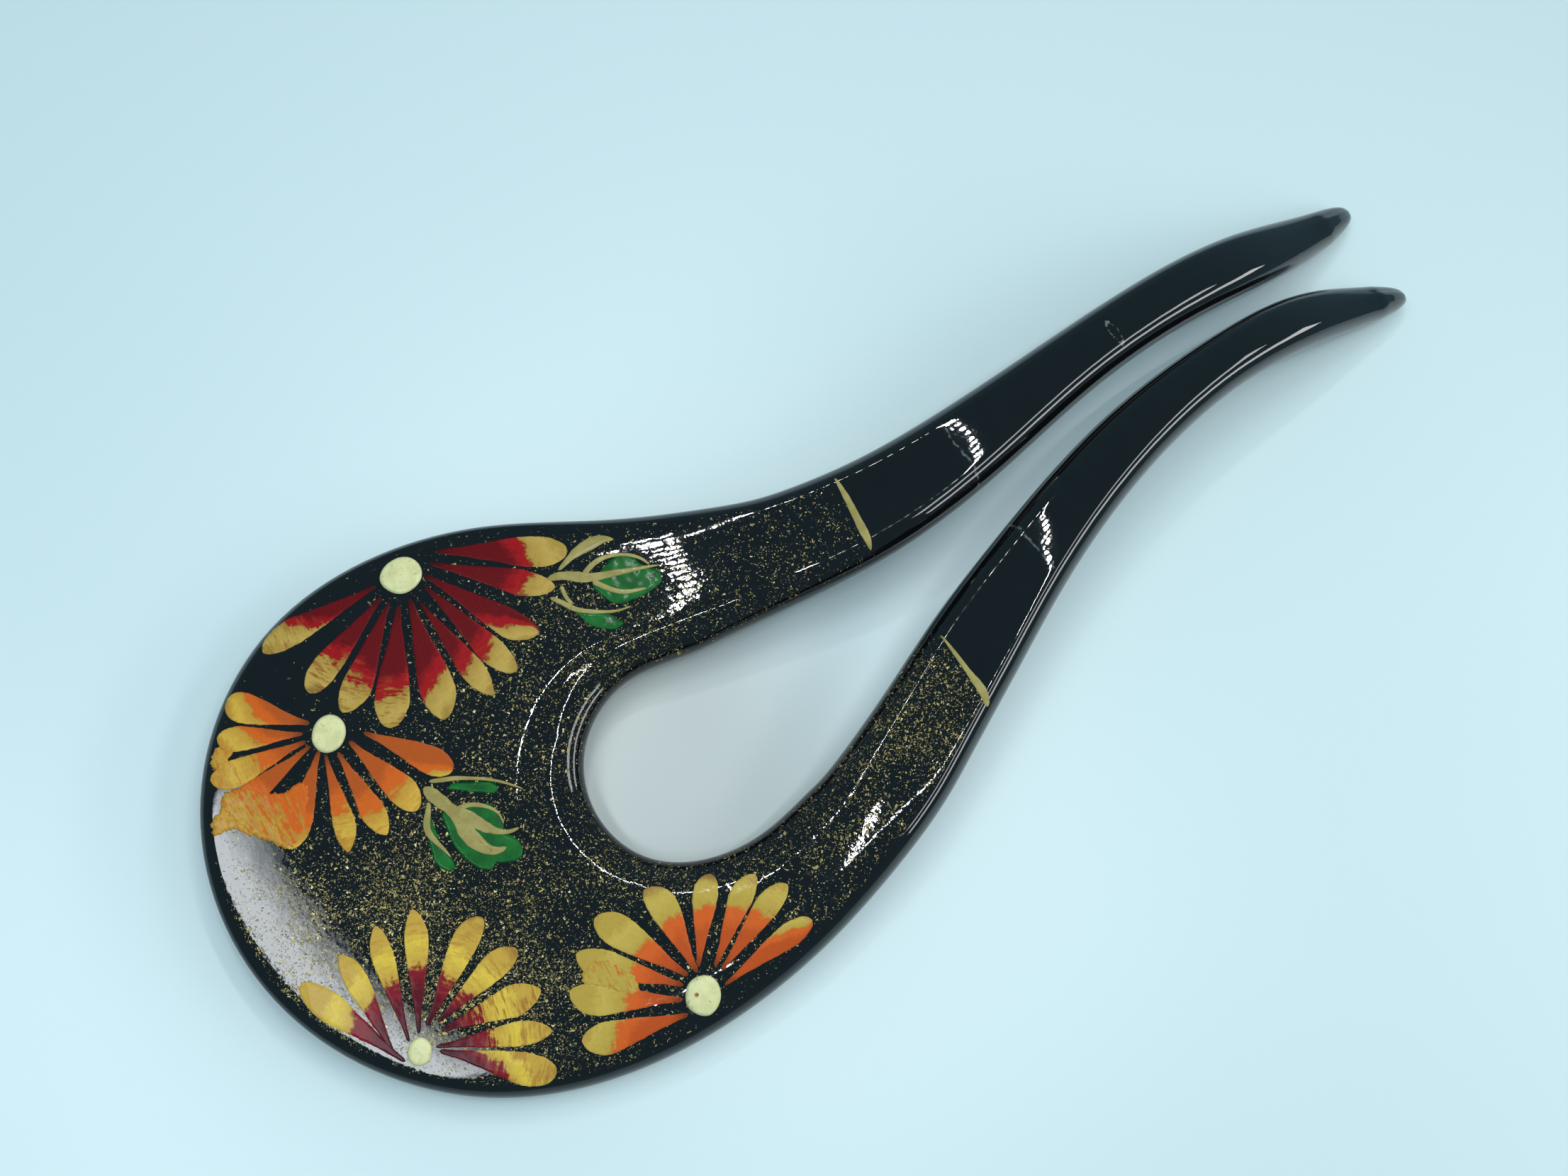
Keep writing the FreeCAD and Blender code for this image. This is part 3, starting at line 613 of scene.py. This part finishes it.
def add_petal(relief, row, number):
    """One petal: a stroke that widens from the dab and ends round or in a small point."""
    x0, y0, x1, y1, left, right, bend, gold_from, slant, point, brown, wrinkle = row
    length = math.hypot(x1 - x0, y1 - y0)

    def spine(u):
        bow = bend * 4 * u * (1 - u) / length
        x = x0 + (x1 - x0) * u - (y1 - y0) * bow
        y = y0 + (y1 - y0) * u + (x1 - x0) * bow
        return np.stack([x, y], axis=1)

    def half_width(full, hand):
        def at(u):
            t = np.clip((u - PETAL_END_FROM) / (1 - PETAL_END_FROM), 0, 1)
            round_end = (1 - t ** 2.5) ** 0.5
            pointed_end = (1 - t ** 1.9) ** 0.85
            end = round_end * (1 - point) + pointed_end * point
            width = full * petal_width(u) * rounded_edge(u, PETAL_START) * end
            width = width * (1 + uneven(PETAL_EDGE_WAVE, u * length, hand, number))
            rough = uneven(PETAL_EDGE_ROUGHNESS, u * length, hand * 3, number + 40)
            return np.maximum(width + rough * smooth_step(0.1, 0.4, width), THINNEST_PETAL)
        return at

    left_half, right_half = half_width(left, 1.0), half_width(right, 2.0)
    xy, u, v, offset = brush_grid(spine, left_half, right_half, PETAL_ROWS, PETAL_COLUMNS)
    half = np.where(v > 0, left_half(u), right_half(u))
    edge = np.minimum((1 - np.abs(v)) * half, np.minimum(u, 1 - u) * length * 1.2 + 0.02)
    # The paint is thinner beside the dab, where the brush came off
    body_of_paint = PETAL_RELIEF * (0.55 + 0.45 * smooth_step(0.05, 0.55, u))
    lumps = 1 + uneven(PETAL_FACE_WAVE, *xy.T, number) + uneven(PETAL_FACE_ROUGHNESS, *xy.T, number)
    height = body_of_paint * lumps * rounded_edge(edge, PETAL_ROUNDING) + EDGE_RELIEF
    faces, rim = grid_faces(PETAL_ROWS, PETAL_COLUMNS)
    gold = (u + slant * v - gold_from) * length
    relief.add(xy, height, faces, rim, {
        "along": u * length,
        "across": offset,
        "start": u,
        "gold": gold,
        "stroke": number,
        "brown": brown * smooth_step(0.86, 1.0, u),
        "wrinkle": wrinkle * smooth_step(-2.6, 0.4, gold),
    })


def smooth_outline(corners):
    """Points at even spacing on a smooth closed curve through the corners."""
    corners = np.array(corners)
    count = len(corners)
    fine = []
    for i in range(count):
        p0, p1, p2, p3 = [corners[(i + k) % count] for k in (-1, 0, 1, 2)]
        for t in np.arange(12) / 12:
            fine.append(0.5 * (
                2 * p1 + (p2 - p0) * t + (2 * p0 - 5 * p1 + 4 * p2 - p3) * t ** 2
                + (3 * p1 - p0 - 3 * p2 + p3) * t ** 3))
    fine = np.array(fine + [fine[0]])
    along = np.concatenate([[0], np.cumsum(np.hypot(*np.diff(fine, axis=0).T))])
    steps = np.linspace(0, along[-1], max(int(along[-1] / OUTLINE_SPACING), 12) + 1)[:-1]
    return np.stack([np.interp(steps, along, fine[:, 0]), np.interp(steps, along, fine[:, 1])], axis=1)


def distance_inside(places, outline):
    """Distance of each place from a closed outline, negative outside it."""
    a = outline
    b = np.roll(outline, -1, axis=0)
    run = b - a
    share = ((places[:, None] - a) * run).sum(axis=2) / (run ** 2).sum(axis=1)
    near = a + np.clip(share, 0, 1)[:, :, None] * run
    distance = np.sqrt(((places[:, None] - near) ** 2).sum(axis=2)).min(axis=1)
    x, y = places[:, 0:1], places[:, 1:2]
    crosses = (a[:, 1] > y) != (b[:, 1] > y)
    beside = x < run[:, 0] * (y - a[:, 1]) / np.where(run[:, 1] == 0, 1e-9, run[:, 1]) + a[:, 0]
    return np.where((crosses & beside).sum(axis=1) % 2 == 1, distance, -distance)


def ragged_outline(outline, number):
    """Push an outline's points in and out from its centre."""
    push = uneven(PATCH_EDGE_WAVE, *outline.T, number)
    outward = outline - outline.mean(axis=0)
    return outline + (push / np.linalg.norm(outward, axis=1))[:, None] * outward


def add_patch(relief, outline, thickness, rounding, number, numbers_at=None):
    """A closed patch of paint inside an outline of close points."""
    low, high = outline.min(axis=0), outline.max(axis=0)
    grid = np.array([
        (x + (0.5 * PATCH_SPACING if row % 2 else 0.0), y)
        for row, y in enumerate(np.arange(low[1], high[1], PATCH_SPACING * 0.87))
        for x in np.arange(low[0], high[0], PATCH_SPACING)])
    grid = grid[distance_inside(grid, outline) > 0.07]
    places = np.concatenate([outline, grid])
    count = len(outline)
    ring = [(i, (i + 1) % count) for i in range(count)]
    made = delaunay_2d_cdt([Vector(p) for p in places], ring, [list(range(count))], 1, 1e-6)
    xy = np.array([tuple(p) for p in made[0]])
    faces = []
    for face in made[2]:
        a, b, c = [xy[i] for i in face[:3]]
        turn = (b[0] - a[0]) * (c[1] - a[1]) - (b[1] - a[1]) * (c[0] - a[0])
        faces.append(tuple(face if turn > 0 else face[::-1]))
    # The rim is made of the edges that only one face has
    edges = {(f[i], f[(i + 1) % len(f)]) for f in faces for i in range(len(f))}
    follow = {a: b for a, b in edges if (b, a) not in edges}
    rim = [next(iter(follow))]
    while follow[rim[-1]] != rim[0]:
        rim.append(follow[rim[-1]])
    edge = np.abs(distance_inside(xy, xy[rim]))
    lumps = 1 + uneven(PATCH_FACE_WAVE, *xy.T, number)
    height = thickness * rounded_edge(edge, rounding) * lumps + EDGE_RELIEF
    relief.add(xy, height, faces, rim, numbers_at(xy) if numbers_at else {})


def add_line(relief, row, lift, number):
    """A gold brush line through its own points, with a width at each."""
    table = np.array(row)
    reach = np.concatenate([[0], np.cumsum(np.hypot(*np.diff(table[:, :2], axis=0).T))])
    x_at, y_at, width_at = [smooth_curve(reach / reach[-1], column) for column in table.T]

    def spine(u):
        return np.stack([x_at(u), y_at(u)], axis=1)

    def half_width(u):
        ends = rounded_edge(u, LINE_END) * rounded_edge(1 - u, LINE_END)
        wave = 1 + uneven(LINE_EDGE_WAVE, u * reach[-1], 3.0, number)
        return np.maximum(width_at(u) / 2 * wave * ends, THINNEST_LINE)

    rows = max(int(reach[-1] / LINE_ROW_LENGTH), 12)
    xy, u, v, _ = brush_grid(spine, half_width, half_width, rows, LINE_COLUMNS)
    edge = (1 - np.abs(v)) * half_width(u)
    thickness = LINE_RELIEF * np.clip(half_width(u) / 0.25, 0.5, 1.0)
    height = thickness * rounded_edge(edge, LINE_ROUNDING) + lift
    faces, rim = grid_faces(rows, LINE_COLUMNS)
    relief.add(xy, height, faces, rim, {})


def flake_density(xy, face):
    """How much gold dust lies at each point, from 0 to 1."""
    total = np.zeros(len(xy))
    for x, y, reach, amount in DUST:
        total += amount * np.exp(-((xy[:, 0] - x) ** 2 + (xy[:, 1] - y) ** 2) / reach ** 2)
    before_bands = 1 - smooth_step(*DUST_END, xy[:, 0])
    return np.clip(total, 0, 1) * before_bands * smooth_step(0.1, 0.9, face)


body = new_mesh("lacquered_wood", points + shift, faces, {
    "face": face_share, "dust": flake_density(points[:, :2], face_share)})
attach(body, "root")
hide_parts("body")
pieces = {"black_lacquer": [body]}


def keep(relief, name, node, slot):
    """Turn a relief into the piece that replaces a node, and list it under its slot."""
    piece = new_mesh(name, np.array(relief.points) + shift, relief.faces, relief.numbers)
    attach(piece, "root")
    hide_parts(node)
    pieces.setdefault(slot, []).append(piece)


# The petals of each flower, with the paint that has run together between them
for flower, dab_x, dab_y, dab_length, dab_width, dab_turn in FLOWERS:
    relief = Relief()
    for number, row in enumerate(PETALS[flower]):
        add_petal(relief, row, number + 1)
    for number, (owner, corners) in enumerate(RUN_TOGETHER):
        if owner != flower:
            continue

        def petal_numbers(xy, number=number):
            reach = np.hypot(xy[:, 0] - dab_x, xy[:, 1] - dab_y)
            # The first patch is large and only turns to gold towards its outer side
            gold = np.clip((reach - 7.3) * 0.3, -0.4, 0.5) if number == 0 else 0.8
            return {
                "along": xy[:, 0], "across": xy[:, 1], "start": 0.6, "gold": gold,
                "stroke": 20 + number, "brown": 0, "wrinkle": 1,
            }

        seed = 30 + number
        outline = ragged_outline(smooth_outline(corners), seed)
        add_patch(relief, outline, PATCH_RELIEF, PATCH_ROUNDING, seed, petal_numbers)
    keep(relief, "petals_of_" + flower + "_flower", "petals_" + flower, flower + "_gold_paint")

    # The thick dab of pale paint in the middle
    relief = Relief()
    turn = math.radians(dab_turn)
    angles = 2 * math.pi * np.arange(DAB_CORNERS) / DAB_CORNERS
    wave = 1 + uneven(DAB_EDGE_WAVE, np.cos(angles), np.sin(angles), dab_x)
    a, b = dab_length * np.cos(angles) * wave, dab_width * np.sin(angles) * wave
    corners = np.stack([
        dab_x + a * math.cos(turn) - b * math.sin(turn),
        dab_y + a * math.sin(turn) + b * math.cos(turn)], axis=1)

    def dab_numbers(xy):
        return {"speck": np.hypot(xy[:, 0] - AMBER_SPECK[0], xy[:, 1] - AMBER_SPECK[1])}

    add_patch(relief, smooth_outline(corners), DAB_RELIEF, DAB_ROUNDING, 60 + dab_x, dab_numbers)
    keep(relief, "middle_of_" + flower + "_flower", "dab_" + flower, "cream_paint")

for number, (name, corners) in enumerate(LEAVES.items()):
    relief = Relief()
    add_patch(relief, smooth_outline(corners), LEAF_RELIEF, LEAF_ROUNDING, 80 + number)
    keep(relief, name + "_paint", name, "green_paint")

for number, (name, rows) in enumerate(GOLD_LINES.items()):
    relief = Relief()
    lift = OVER_PAINT if name.startswith(("band", "stroke")) else LEAF_RELIEF + OVER_PAINT
    for line, row in enumerate(rows):
        add_line(relief, row, lift + LINE_STEP * line, 100 + 10 * number + line)
    keep(relief, name + "_paint", name, "gold_line_paint")


def linear(red, green, blue):
    """A colour given in screen values from 0 to 255."""
    return tuple(
        c / 12.92 if c <= 0.04045 else ((c + 0.055) / 1.055) ** 2.4
        for c in (red / 255, green / 255, blue / 255)) + (1.0,)


class Paint:
    """A material and short ways to add nodes to it."""

    def __init__(self, name):
        self.material = bpy.data.materials.new(name)
        self.material.use_nodes = True
        self.tree = self.material.node_tree
        self.shader = self.tree.nodes["Principled BSDF"]

    def add(self, kind, output=0, inputs=(), **settings):
        """Add a node, set or link its inputs and return one output."""
        node = self.tree.nodes.new("ShaderNode" + kind)
        for key, value in settings.items():
            setattr(node, key, value)
        for key, value in dict(inputs).items():
            self.feed(node.inputs[key], value)
        return node.outputs[output]

    def feed(self, socket, value):
        """Link a value to a socket or set it there, a colour in screen values."""
        if isinstance(value, bpy.types.NodeSocket):
            self.tree.links.new(value, socket)
        else:
            socket.default_value = linear(*value) if socket.type == "RGBA" else value

    def set(self, **values):
        """Set or link the shader's own inputs, with spaces written as underscores."""
        for key, value in values.items():
            self.feed(self.shader.inputs[key.replace("_", " ")], value)

    def number(self, name):
        """A number that the mesh gives for each point."""
        return self.add("Attribute", "Fac", attribute_name=name)

    def math(self, operation, a, b=0.0, c=0.0):
        return self.add("Math", 0, {0: a, 1: b, 2: c}, operation=operation)

    def times(self, a, b):
        return self.math("MULTIPLY", a, b)

    def times_plus(self, a, b, c):
        return self.math("MULTIPLY_ADD", a, b, c)

    def vector(self, operation, a, b=None, output=0):
        """Vector arithmetic, in which SCALE takes a number for b."""
        inputs = {0: a} if b is None else {0: a, 3 if operation == "SCALE" else 1: b}
        return self.add("VectorMath", output, inputs, operation=operation)

    def step(self, value, low, high):
        """Go smoothly from 0 at low to 1 at high, also where high is the smaller value."""
        return self.add(
            "MapRange", 0, {0: value, 1: low, 2: high, 3: 0.0, 4: 1.0}, interpolation_type="SMOOTHSTEP")

    def blend(self, factor, a, b):
        return self.add("Mix", 2, {0: factor, 6: a, 7: b}, data_type="RGBA")

    def grain(self, where, scale, detail=2.0, rough=0.5):
        return self.add(
            "TexNoise", 0, {"Vector": where, "Scale": scale, "Detail": detail, "Roughness": rough})

    def ramp(self, factor, *stops):
        """Colours along a factor, as pairs of place and screen colour."""
        node = self.tree.nodes.new("ShaderNodeValToRGB")
        self.feed(node.inputs[0], factor)
        elements = node.color_ramp.elements
        for place, colour in stops[2:]:
            elements.new(place)
        for element, (place, colour) in zip(elements, stops):
            element.position = place
            element.color = linear(*colour)
        return node.outputs[0]

    def place(self):
        """The point's own place in millimetres."""
        return self.vector("SCALE", self.add("TexCoord", "Object"), 1 / MM)

    def plan_distance(self, where, x, y, half_x=1.0, half_y=1.0):
        """Distance from a place in the plan, in its half sizes."""
        where = self.vector("SUBTRACT", where, (x + float(shift[0]), y + float(shift[1]), 0.0))
        where = self.vector("MULTIPLY", where, (1 / half_x, 1 / half_y, 0.0))
        return self.vector("LENGTH", where, output="Value")

    def bump(self, height, distance, **under):
        """A bump in millimetres, over another one that is given as Normal."""
        inputs = {"Height": height, "Distance": distance * MM, "Strength": 1.0, **under}
        return self.add("Bump", 0, inputs)

    def cover(self, slot):
        for piece in pieces[slot]:
            piece.data.materials.append(self.material)


def lacquer():
    """Black lacquer with gold dust scattered under its gloss."""
    paint = Paint("black_lacquer")
    where = paint.place()
    warp = paint.add("TexNoise", "Color", {"Vector": where, "Scale": 3.1, "Detail": 1.0})
    warp = paint.vector("SCALE", paint.vector("SUBTRACT", warp, (0.5, 0.5, 0.5)), 0.55)
    warped = paint.vector("ADD", where, warp)
    clumps = paint.step(paint.grain(where, 0.30, 3.0, 0.6), 0.32, 0.68)
    dust = paint.times(paint.number("dust"), paint.times_plus(clumps, 1.1, 0.45))
    masks = []
    tints = []
    for scale, chance, size in FLAKES:
        cells = paint.tree.nodes.new("ShaderNodeTexVoronoi")
        paint.feed(cells.inputs["Vector"], warped)
        cells.inputs["Scale"].default_value = scale
        draws = paint.add("SeparateColor", 0, {0: cells.outputs["Color"]}).node.outputs
        present = paint.math("LESS_THAN", draws[0], paint.times(dust, chance))
        inside_by = paint.math(
            "SUBTRACT", paint.times_plus(draws[1], size, 0.12), cells.outputs["Distance"])
        masks.append(paint.times(paint.step(inside_by, 0.0, 0.07), present))
        tints.append(draws[2])
    flakes = paint.math("MAXIMUM", paint.math("MAXIMUM", masks[0], masks[1]), masks[2])
    tone = paint.math("MAXIMUM", tints[0], paint.times(tints[1], 0.9))
    gold = paint.ramp(
        tone, (0.0, (80, 70, 40)), (0.6, (138, 124, 74)), (0.88, (184, 166, 104)),
        (1.0, (225, 214, 160)))
    black = paint.blend(paint.grain(where, 0.5, 4.0), (6, 7, 8), (14, 15, 17))
    face = paint.number("face")

    def marked(base, off_line, width, breaks, amount, colour):
        """Draw a thin broken line over a colour, by the distance from the line."""
        scale, low, high = breaks
        line = paint.times(
            paint.step(off_line, width, 0.04), paint.step(paint.grain(where, scale, 3.0), low, high))
        return paint.blend(paint.times(paint.times(line, face), amount), base, colour)

    # The scratch is a small loop with an uneven outline
    loop = paint.plan_distance(paint.vector("ADD", where, paint.vector("SCALE", warp, 0.8)), *SCRATCH)
    off_loop = paint.math("ABSOLUTE", paint.math("SUBTRACT", loop, 1.0))
    black = marked(black, off_loop, 0.22, (2.5, 0.42, 0.60), 0.7, (128, 134, 132))
    # A pale broken line painted across each prong where its flat face ends is a painted highlight of the
    # crease there
    wavy_x = paint.times_plus(paint.grain(where, 0.8), 0.9, paint.add("SeparateXYZ", 0, {0: where}))
    off_line = paint.math(
        "ABSOLUTE", paint.math("SUBTRACT", wavy_x, FACET_END_HIGHLIGHT_X + float(shift[0])))
    black = marked(black, off_line, 0.20, (2.0, 0.40, 0.62), 0.6, (112, 120, 122))
    paint.set(
        Base_Color=paint.blend(flakes, black, gold),
        Metallic=paint.times(flakes, 0.35),
        Roughness=paint.times_plus(flakes, 0.25, 0.22),
        Specular_IOR_Level=0.0,
        Coat_Weight=paint.times_plus(flakes, -0.8, 1.0),
        Coat_Roughness=paint.times_plus(flakes, 0.22, 0.02),
        Coat_IOR=1.55,
    )
    # The gloss is a little uneven, with grit and flakes under it
    surface = paint.bump(paint.grain(where, 0.35, 1.0), 0.014)
    surface = paint.bump(paint.grain(where, 2.2, 1.0), 0.0015, Normal=surface)
    surface = paint.bump(paint.times(paint.grain(where, 2.0), dust), 0.009, Normal=surface)
    surface = paint.bump(flakes, 0.020, Normal=surface)
    paint.set(Coat_Normal=surface, Normal=surface)
    paint.cover("black_lacquer")


# deep, base, tan, gold, bright, brown
PETAL_COLOURS = {
    "red": (
        (100, 12, 18), (154, 20, 26), (142, 80, 36), (170, 139, 64), (190, 159, 80), (104, 62, 32)),
    "orange": (
        (176, 82, 30), (208, 96, 30), (184, 116, 44), (188, 140, 52), (210, 170, 68), (140, 84, 36)),
    "maroon": (
        (88, 18, 32), (126, 24, 38), (156, 98, 46), (196, 158, 66), (222, 190, 72), (112, 62, 36)),
    "amber": (
        (186, 78, 30), (208, 94, 36), (186, 124, 52), (180, 153, 66), (195, 169, 80), (138, 96, 56)),
}


def petal_paint(slot, deep, base, tan, gold, bright, brown):
    """A petal in one colour that turns to gold over its outer part."""
    paint = Paint(slot)
    along, across = paint.number("along"), paint.number("across")
    # Each stroke takes its own part of the noise, stretched along or across the brush
    apart = paint.times(paint.number("stroke"), 7.3)
    plain = paint.add("CombineXYZ", 0, {0: along, 1: across, 2: apart})
    streaked, crossed = [
        paint.add("CombineXYZ", 0, {0: paint.times(along, a), 1: paint.times(across, b), 2: apart})
        for a, b in ((0.55, 2.6), (3.2, 0.6))]
    patches = paint.grain(plain, 0.9, 3.0, 0.6)
    fine = paint.grain(plain, 4.5, 3.0, 0.65)
    streaks = paint.grain(streaked, 1.2)
    crossings = paint.grain(crossed, 1.0, 3.0, 0.6)
    wrinkle = paint.number("wrinkle")
    folds = paint.times(paint.math("SUBTRACT", crossings, 0.5), wrinkle)
    # The place where the gold starts is moved by each of these
    gilded = paint.number("gold")
    for noise_value, reach in ((patches, 2.2), (fine, 0.9), (streaks, 0.8)):
        gilded = paint.times_plus(paint.math("SUBTRACT", noise_value, 0.5), reach, gilded)
    gilded = paint.times_plus(folds, 4.5, gilded)
    level = paint.add("MapRange", 0, {0: gilded, 1: -2.0, 2: 3.0, 3: 0.0, 4: 1.0})
    colour = paint.ramp(
        level, (0.0, deep), (0.22, base), (0.38, base), (0.42, tan), (0.47, gold), (0.8, bright),
        (1.0, gold))
    # Darker lines lie across the gold where the paint has wrinkled
    dark = paint.times(paint.step(crossings, 0.52, 0.64), wrinkle)
    colour = paint.blend(paint.times(dark, 0.75), colour, tan)
    colour = paint.blend(paint.times(paint.step(fine, 0.55, 0.75), 0.22), colour, brown)
    brown_share = paint.times(paint.number("brown"), paint.step(patches, 0.35, 0.6))
    colour = paint.blend(brown_share, colour, brown)
    # The paint thins out to the lacquer beside the dab
    thin = paint.step(paint.times_plus(fine, 0.16, paint.number("start")), 0.02, 0.30)
    colour = paint.blend(thin, paint.blend(0.72, colour, (10, 8, 8)), colour)
    paint.set(Base_Color=colour, Roughness=paint.times_plus(fine, 0.25, 0.34))
    paint.set(Specular_IOR_Level=0.06, Coat_Weight=0.12, Coat_Roughness=0.06)
    height = paint.times_plus(paint.times(crossings, wrinkle), 2.8, fine)
    height = paint.times_plus(streaks, 0.5, height)
    paint.set(Normal=paint.bump(height, 0.05))
    paint.cover(slot)


# light, dark, marks, roughness, bump_height, mark_level
FLAT_PAINTS = {
    "cream_paint": ((222, 219, 164), (208, 205, 150), (160, 158, 112), 0.4, 0.03, 0.60),
    "green_paint": ((12, 102, 36), (8, 80, 28), (28, 116, 54), 0.3, 0.02, 0.66),
    "gold_line_paint": ((162, 149, 90), (146, 133, 75), (118, 105, 58), 0.45, 0.03, 0.62),
}


def flat_paint(slot, light, dark, marks, roughness, bump_height, mark_level):
    """Paint in one colour with paler and darker places, and marks where it has caught dirt."""
    paint = Paint(slot)
    where = paint.place()
    patches = paint.grain(where, 0.8, 3.0)
    fine = paint.grain(where, 3.0, 3.0, 0.6)
    colour = paint.blend(paint.step(patches, 0.35, 0.65), light, dark)
    colour = paint.blend(paint.step(fine, mark_level, mark_level + 0.14), colour, marks)
    if slot == "cream_paint":
        off_speck = paint.step(paint.number("speck"), 0.12, 0.26)
        colour = paint.blend(off_speck, (150, 96, 48), colour)
    paint.set(Base_Color=colour, Roughness=paint.times_plus(fine, 0.2, roughness))
    paint.set(Specular_IOR_Level=0.12, Coat_Weight=0.16, Coat_Roughness=0.08)
    paint.set(Normal=paint.bump(paint.times_plus(patches, 0.8, fine), bump_height))
    paint.cover(slot)


lacquer()
for flower, colours in PETAL_COLOURS.items():
    petal_paint(flower + "_gold_paint", *colours)
for slot, values in FLAT_PAINTS.items():
    flat_paint(slot, *values)

# A plain floor reaches this far each way
FLOOR_REACH = 1500.0
corners = FLOOR_REACH * np.array(((-1, -1, 0), (1, -1, 0), (1, 1, 0), (-1, 1, 0)))
floor = new_mesh("floor", corners, [(0, 1, 2, 3)], {})
paint = Paint("floor")
where = paint.place()
colour = paint.blend(paint.grain(where, 0.02), (206, 225, 227), (209, 227, 229))
# Painted shade: the floor is painted greyer inside the opening, where the hairpin around it shades it
away = paint.step(paint.plan_distance(where, *OPENING), 4.0, 24.0)
paint.set(Base_Color=paint.blend(away, (196, 202, 199), colour), Roughness=0.35)
floor.data.materials.append(paint.material)

world = bpy.data.worlds.new("world")
world.use_nodes = True
background = world.node_tree.nodes["Background"]
background.inputs["Color"].default_value = (0.12, 0.24, 0.30, 1.0)
background.inputs["Strength"].default_value = 1.0
bpy.context.scene.world = world
bpy.context.scene.view_settings.view_transform = "Standard"


def add_light(name, place, size, brightness, aim=None, colour=(1.0, 1.0, 1.0)):
    """A rectangular panel in the plan's millimetres, facing down or at the aim."""
    lamp = bpy.data.lights.new(name, "AREA")
    lamp.shape = "RECTANGLE"
    lamp.size, lamp.size_y = size[0] * MM, size[1] * MM
    lamp.energy = brightness * math.pi * lamp.size * lamp.size_y
    lamp.color = colour
    light = bpy.data.objects.new(name, lamp)
    light.location = Vector(np.array(place) + shift) * MM
    if aim:
        towards = Vector(aim) - Vector(place)
        light.rotation_euler = towards.to_track_quat("-Z", "Y").to_euler()
    bpy.context.scene.collection.objects.link(light)


SIDE_PANELS = {"side_upper": (330.0, -215.0, 285.0), "side_lower": (350.0, -235.0, 150.0)}
SIDE_PANEL_SIZE = (430.0, 46.0)
SIDE_PANEL_AIM = (90.0, 0.0, 8.0)
SIDE_PANEL_BRIGHTNESS = 6.8
for name, place in SIDE_PANELS.items():
    add_light(name, place, SIDE_PANEL_SIZE, SIDE_PANEL_BRIGHTNESS, aim=SIDE_PANEL_AIM)
CEILING = 250.0
# Panels from large to small overlap at the left, so that their reflection fades away from the rim
LEFT_PANEL_STEPS = 8
LEFT_PANEL_EDGE = -93.0
LEFT_PANEL_MIDDLE = 24.0
LEFT_PANEL_SIZES = ((46.0, 224.0), (22.0, 196.0))
LEFT_PANEL_BRIGHTNESS = 12.0
LEFT_PANEL_COLOUR = (0.90, 0.96, 1.0)
for step, size in enumerate(np.linspace(*LEFT_PANEL_SIZES, LEFT_PANEL_STEPS)):
    place = (LEFT_PANEL_EDGE + size[0] / 2, LEFT_PANEL_MIDDLE, CEILING - step)
    add_light(
        f"left_panel_{step + 1}", place, size, LEFT_PANEL_BRIGHTNESS / LEFT_PANEL_STEPS,
        colour=LEFT_PANEL_COLOUR)
# Rows of small lamps in the ceiling: name, from_x, from_y, to_x, to_y, count
LAMP_ROWS = (
    ("row_left_near", 57.0, -60.0, 57.0, -12.0, 9),
    ("row_slanted", 40.0, 47.0, 73.0, 142.0, 13),
    ("row_right", 156.0, -60.0, 156.0, 128.0, 32),
    ("row_far", 63.0, 131.0, 150.0, 131.0, 15),
    ("row_near", 63.0, -63.0, 150.0, -63.0, 15),
    ("row_small", 2.0, -74.0, 22.0, -74.0, 4),
)
LAMP_SIZE = 2.8
LAMP_BRIGHTNESS = 162.0
for name, from_x, from_y, to_x, to_y, count in LAMP_ROWS:
    for number, (x, y) in enumerate(np.linspace((from_x, from_y), (to_x, to_y), count)):
        add_light(f"{name}_{number + 1}", (x, y, CEILING), (LAMP_SIZE, LAMP_SIZE), LAMP_BRIGHTNESS)

turn = math.radians(CAMERA_TURN_DEGREES)
picture_right = Vector((math.cos(turn), -math.sin(turn), 0))
picture_up = Vector((math.sin(turn), math.cos(turn), 0))
left = math.radians(CAMERA_LEFT_DEGREES)
foot = -math.cos(left) * picture_up - math.sin(left) * picture_right
lean = Matrix.Rotation(math.radians(CAMERA_LEAN_DEGREES), 3, Vector((0, 0, 1)).cross(foot))
right, up = lean @ picture_right, lean @ picture_up
back = right.cross(up)
aim = Vector(np.array(CAMERA_AIM) + shift) * MM
lens = bpy.data.cameras.new("camera")
lens.lens = CAMERA_LENS
lens.sensor_width = CAMERA_SENSOR
lens.clip_start = 0.01
camera = bpy.data.objects.new("camera", lens)
facing = Matrix((right, up, back)).transposed().to_4x4()
camera.matrix_world = Matrix.Translation(aim + back * CAMERA_DISTANCE * MM) @ facing
bpy.context.scene.collection.objects.link(camera)
bpy.context.scene.camera = camera
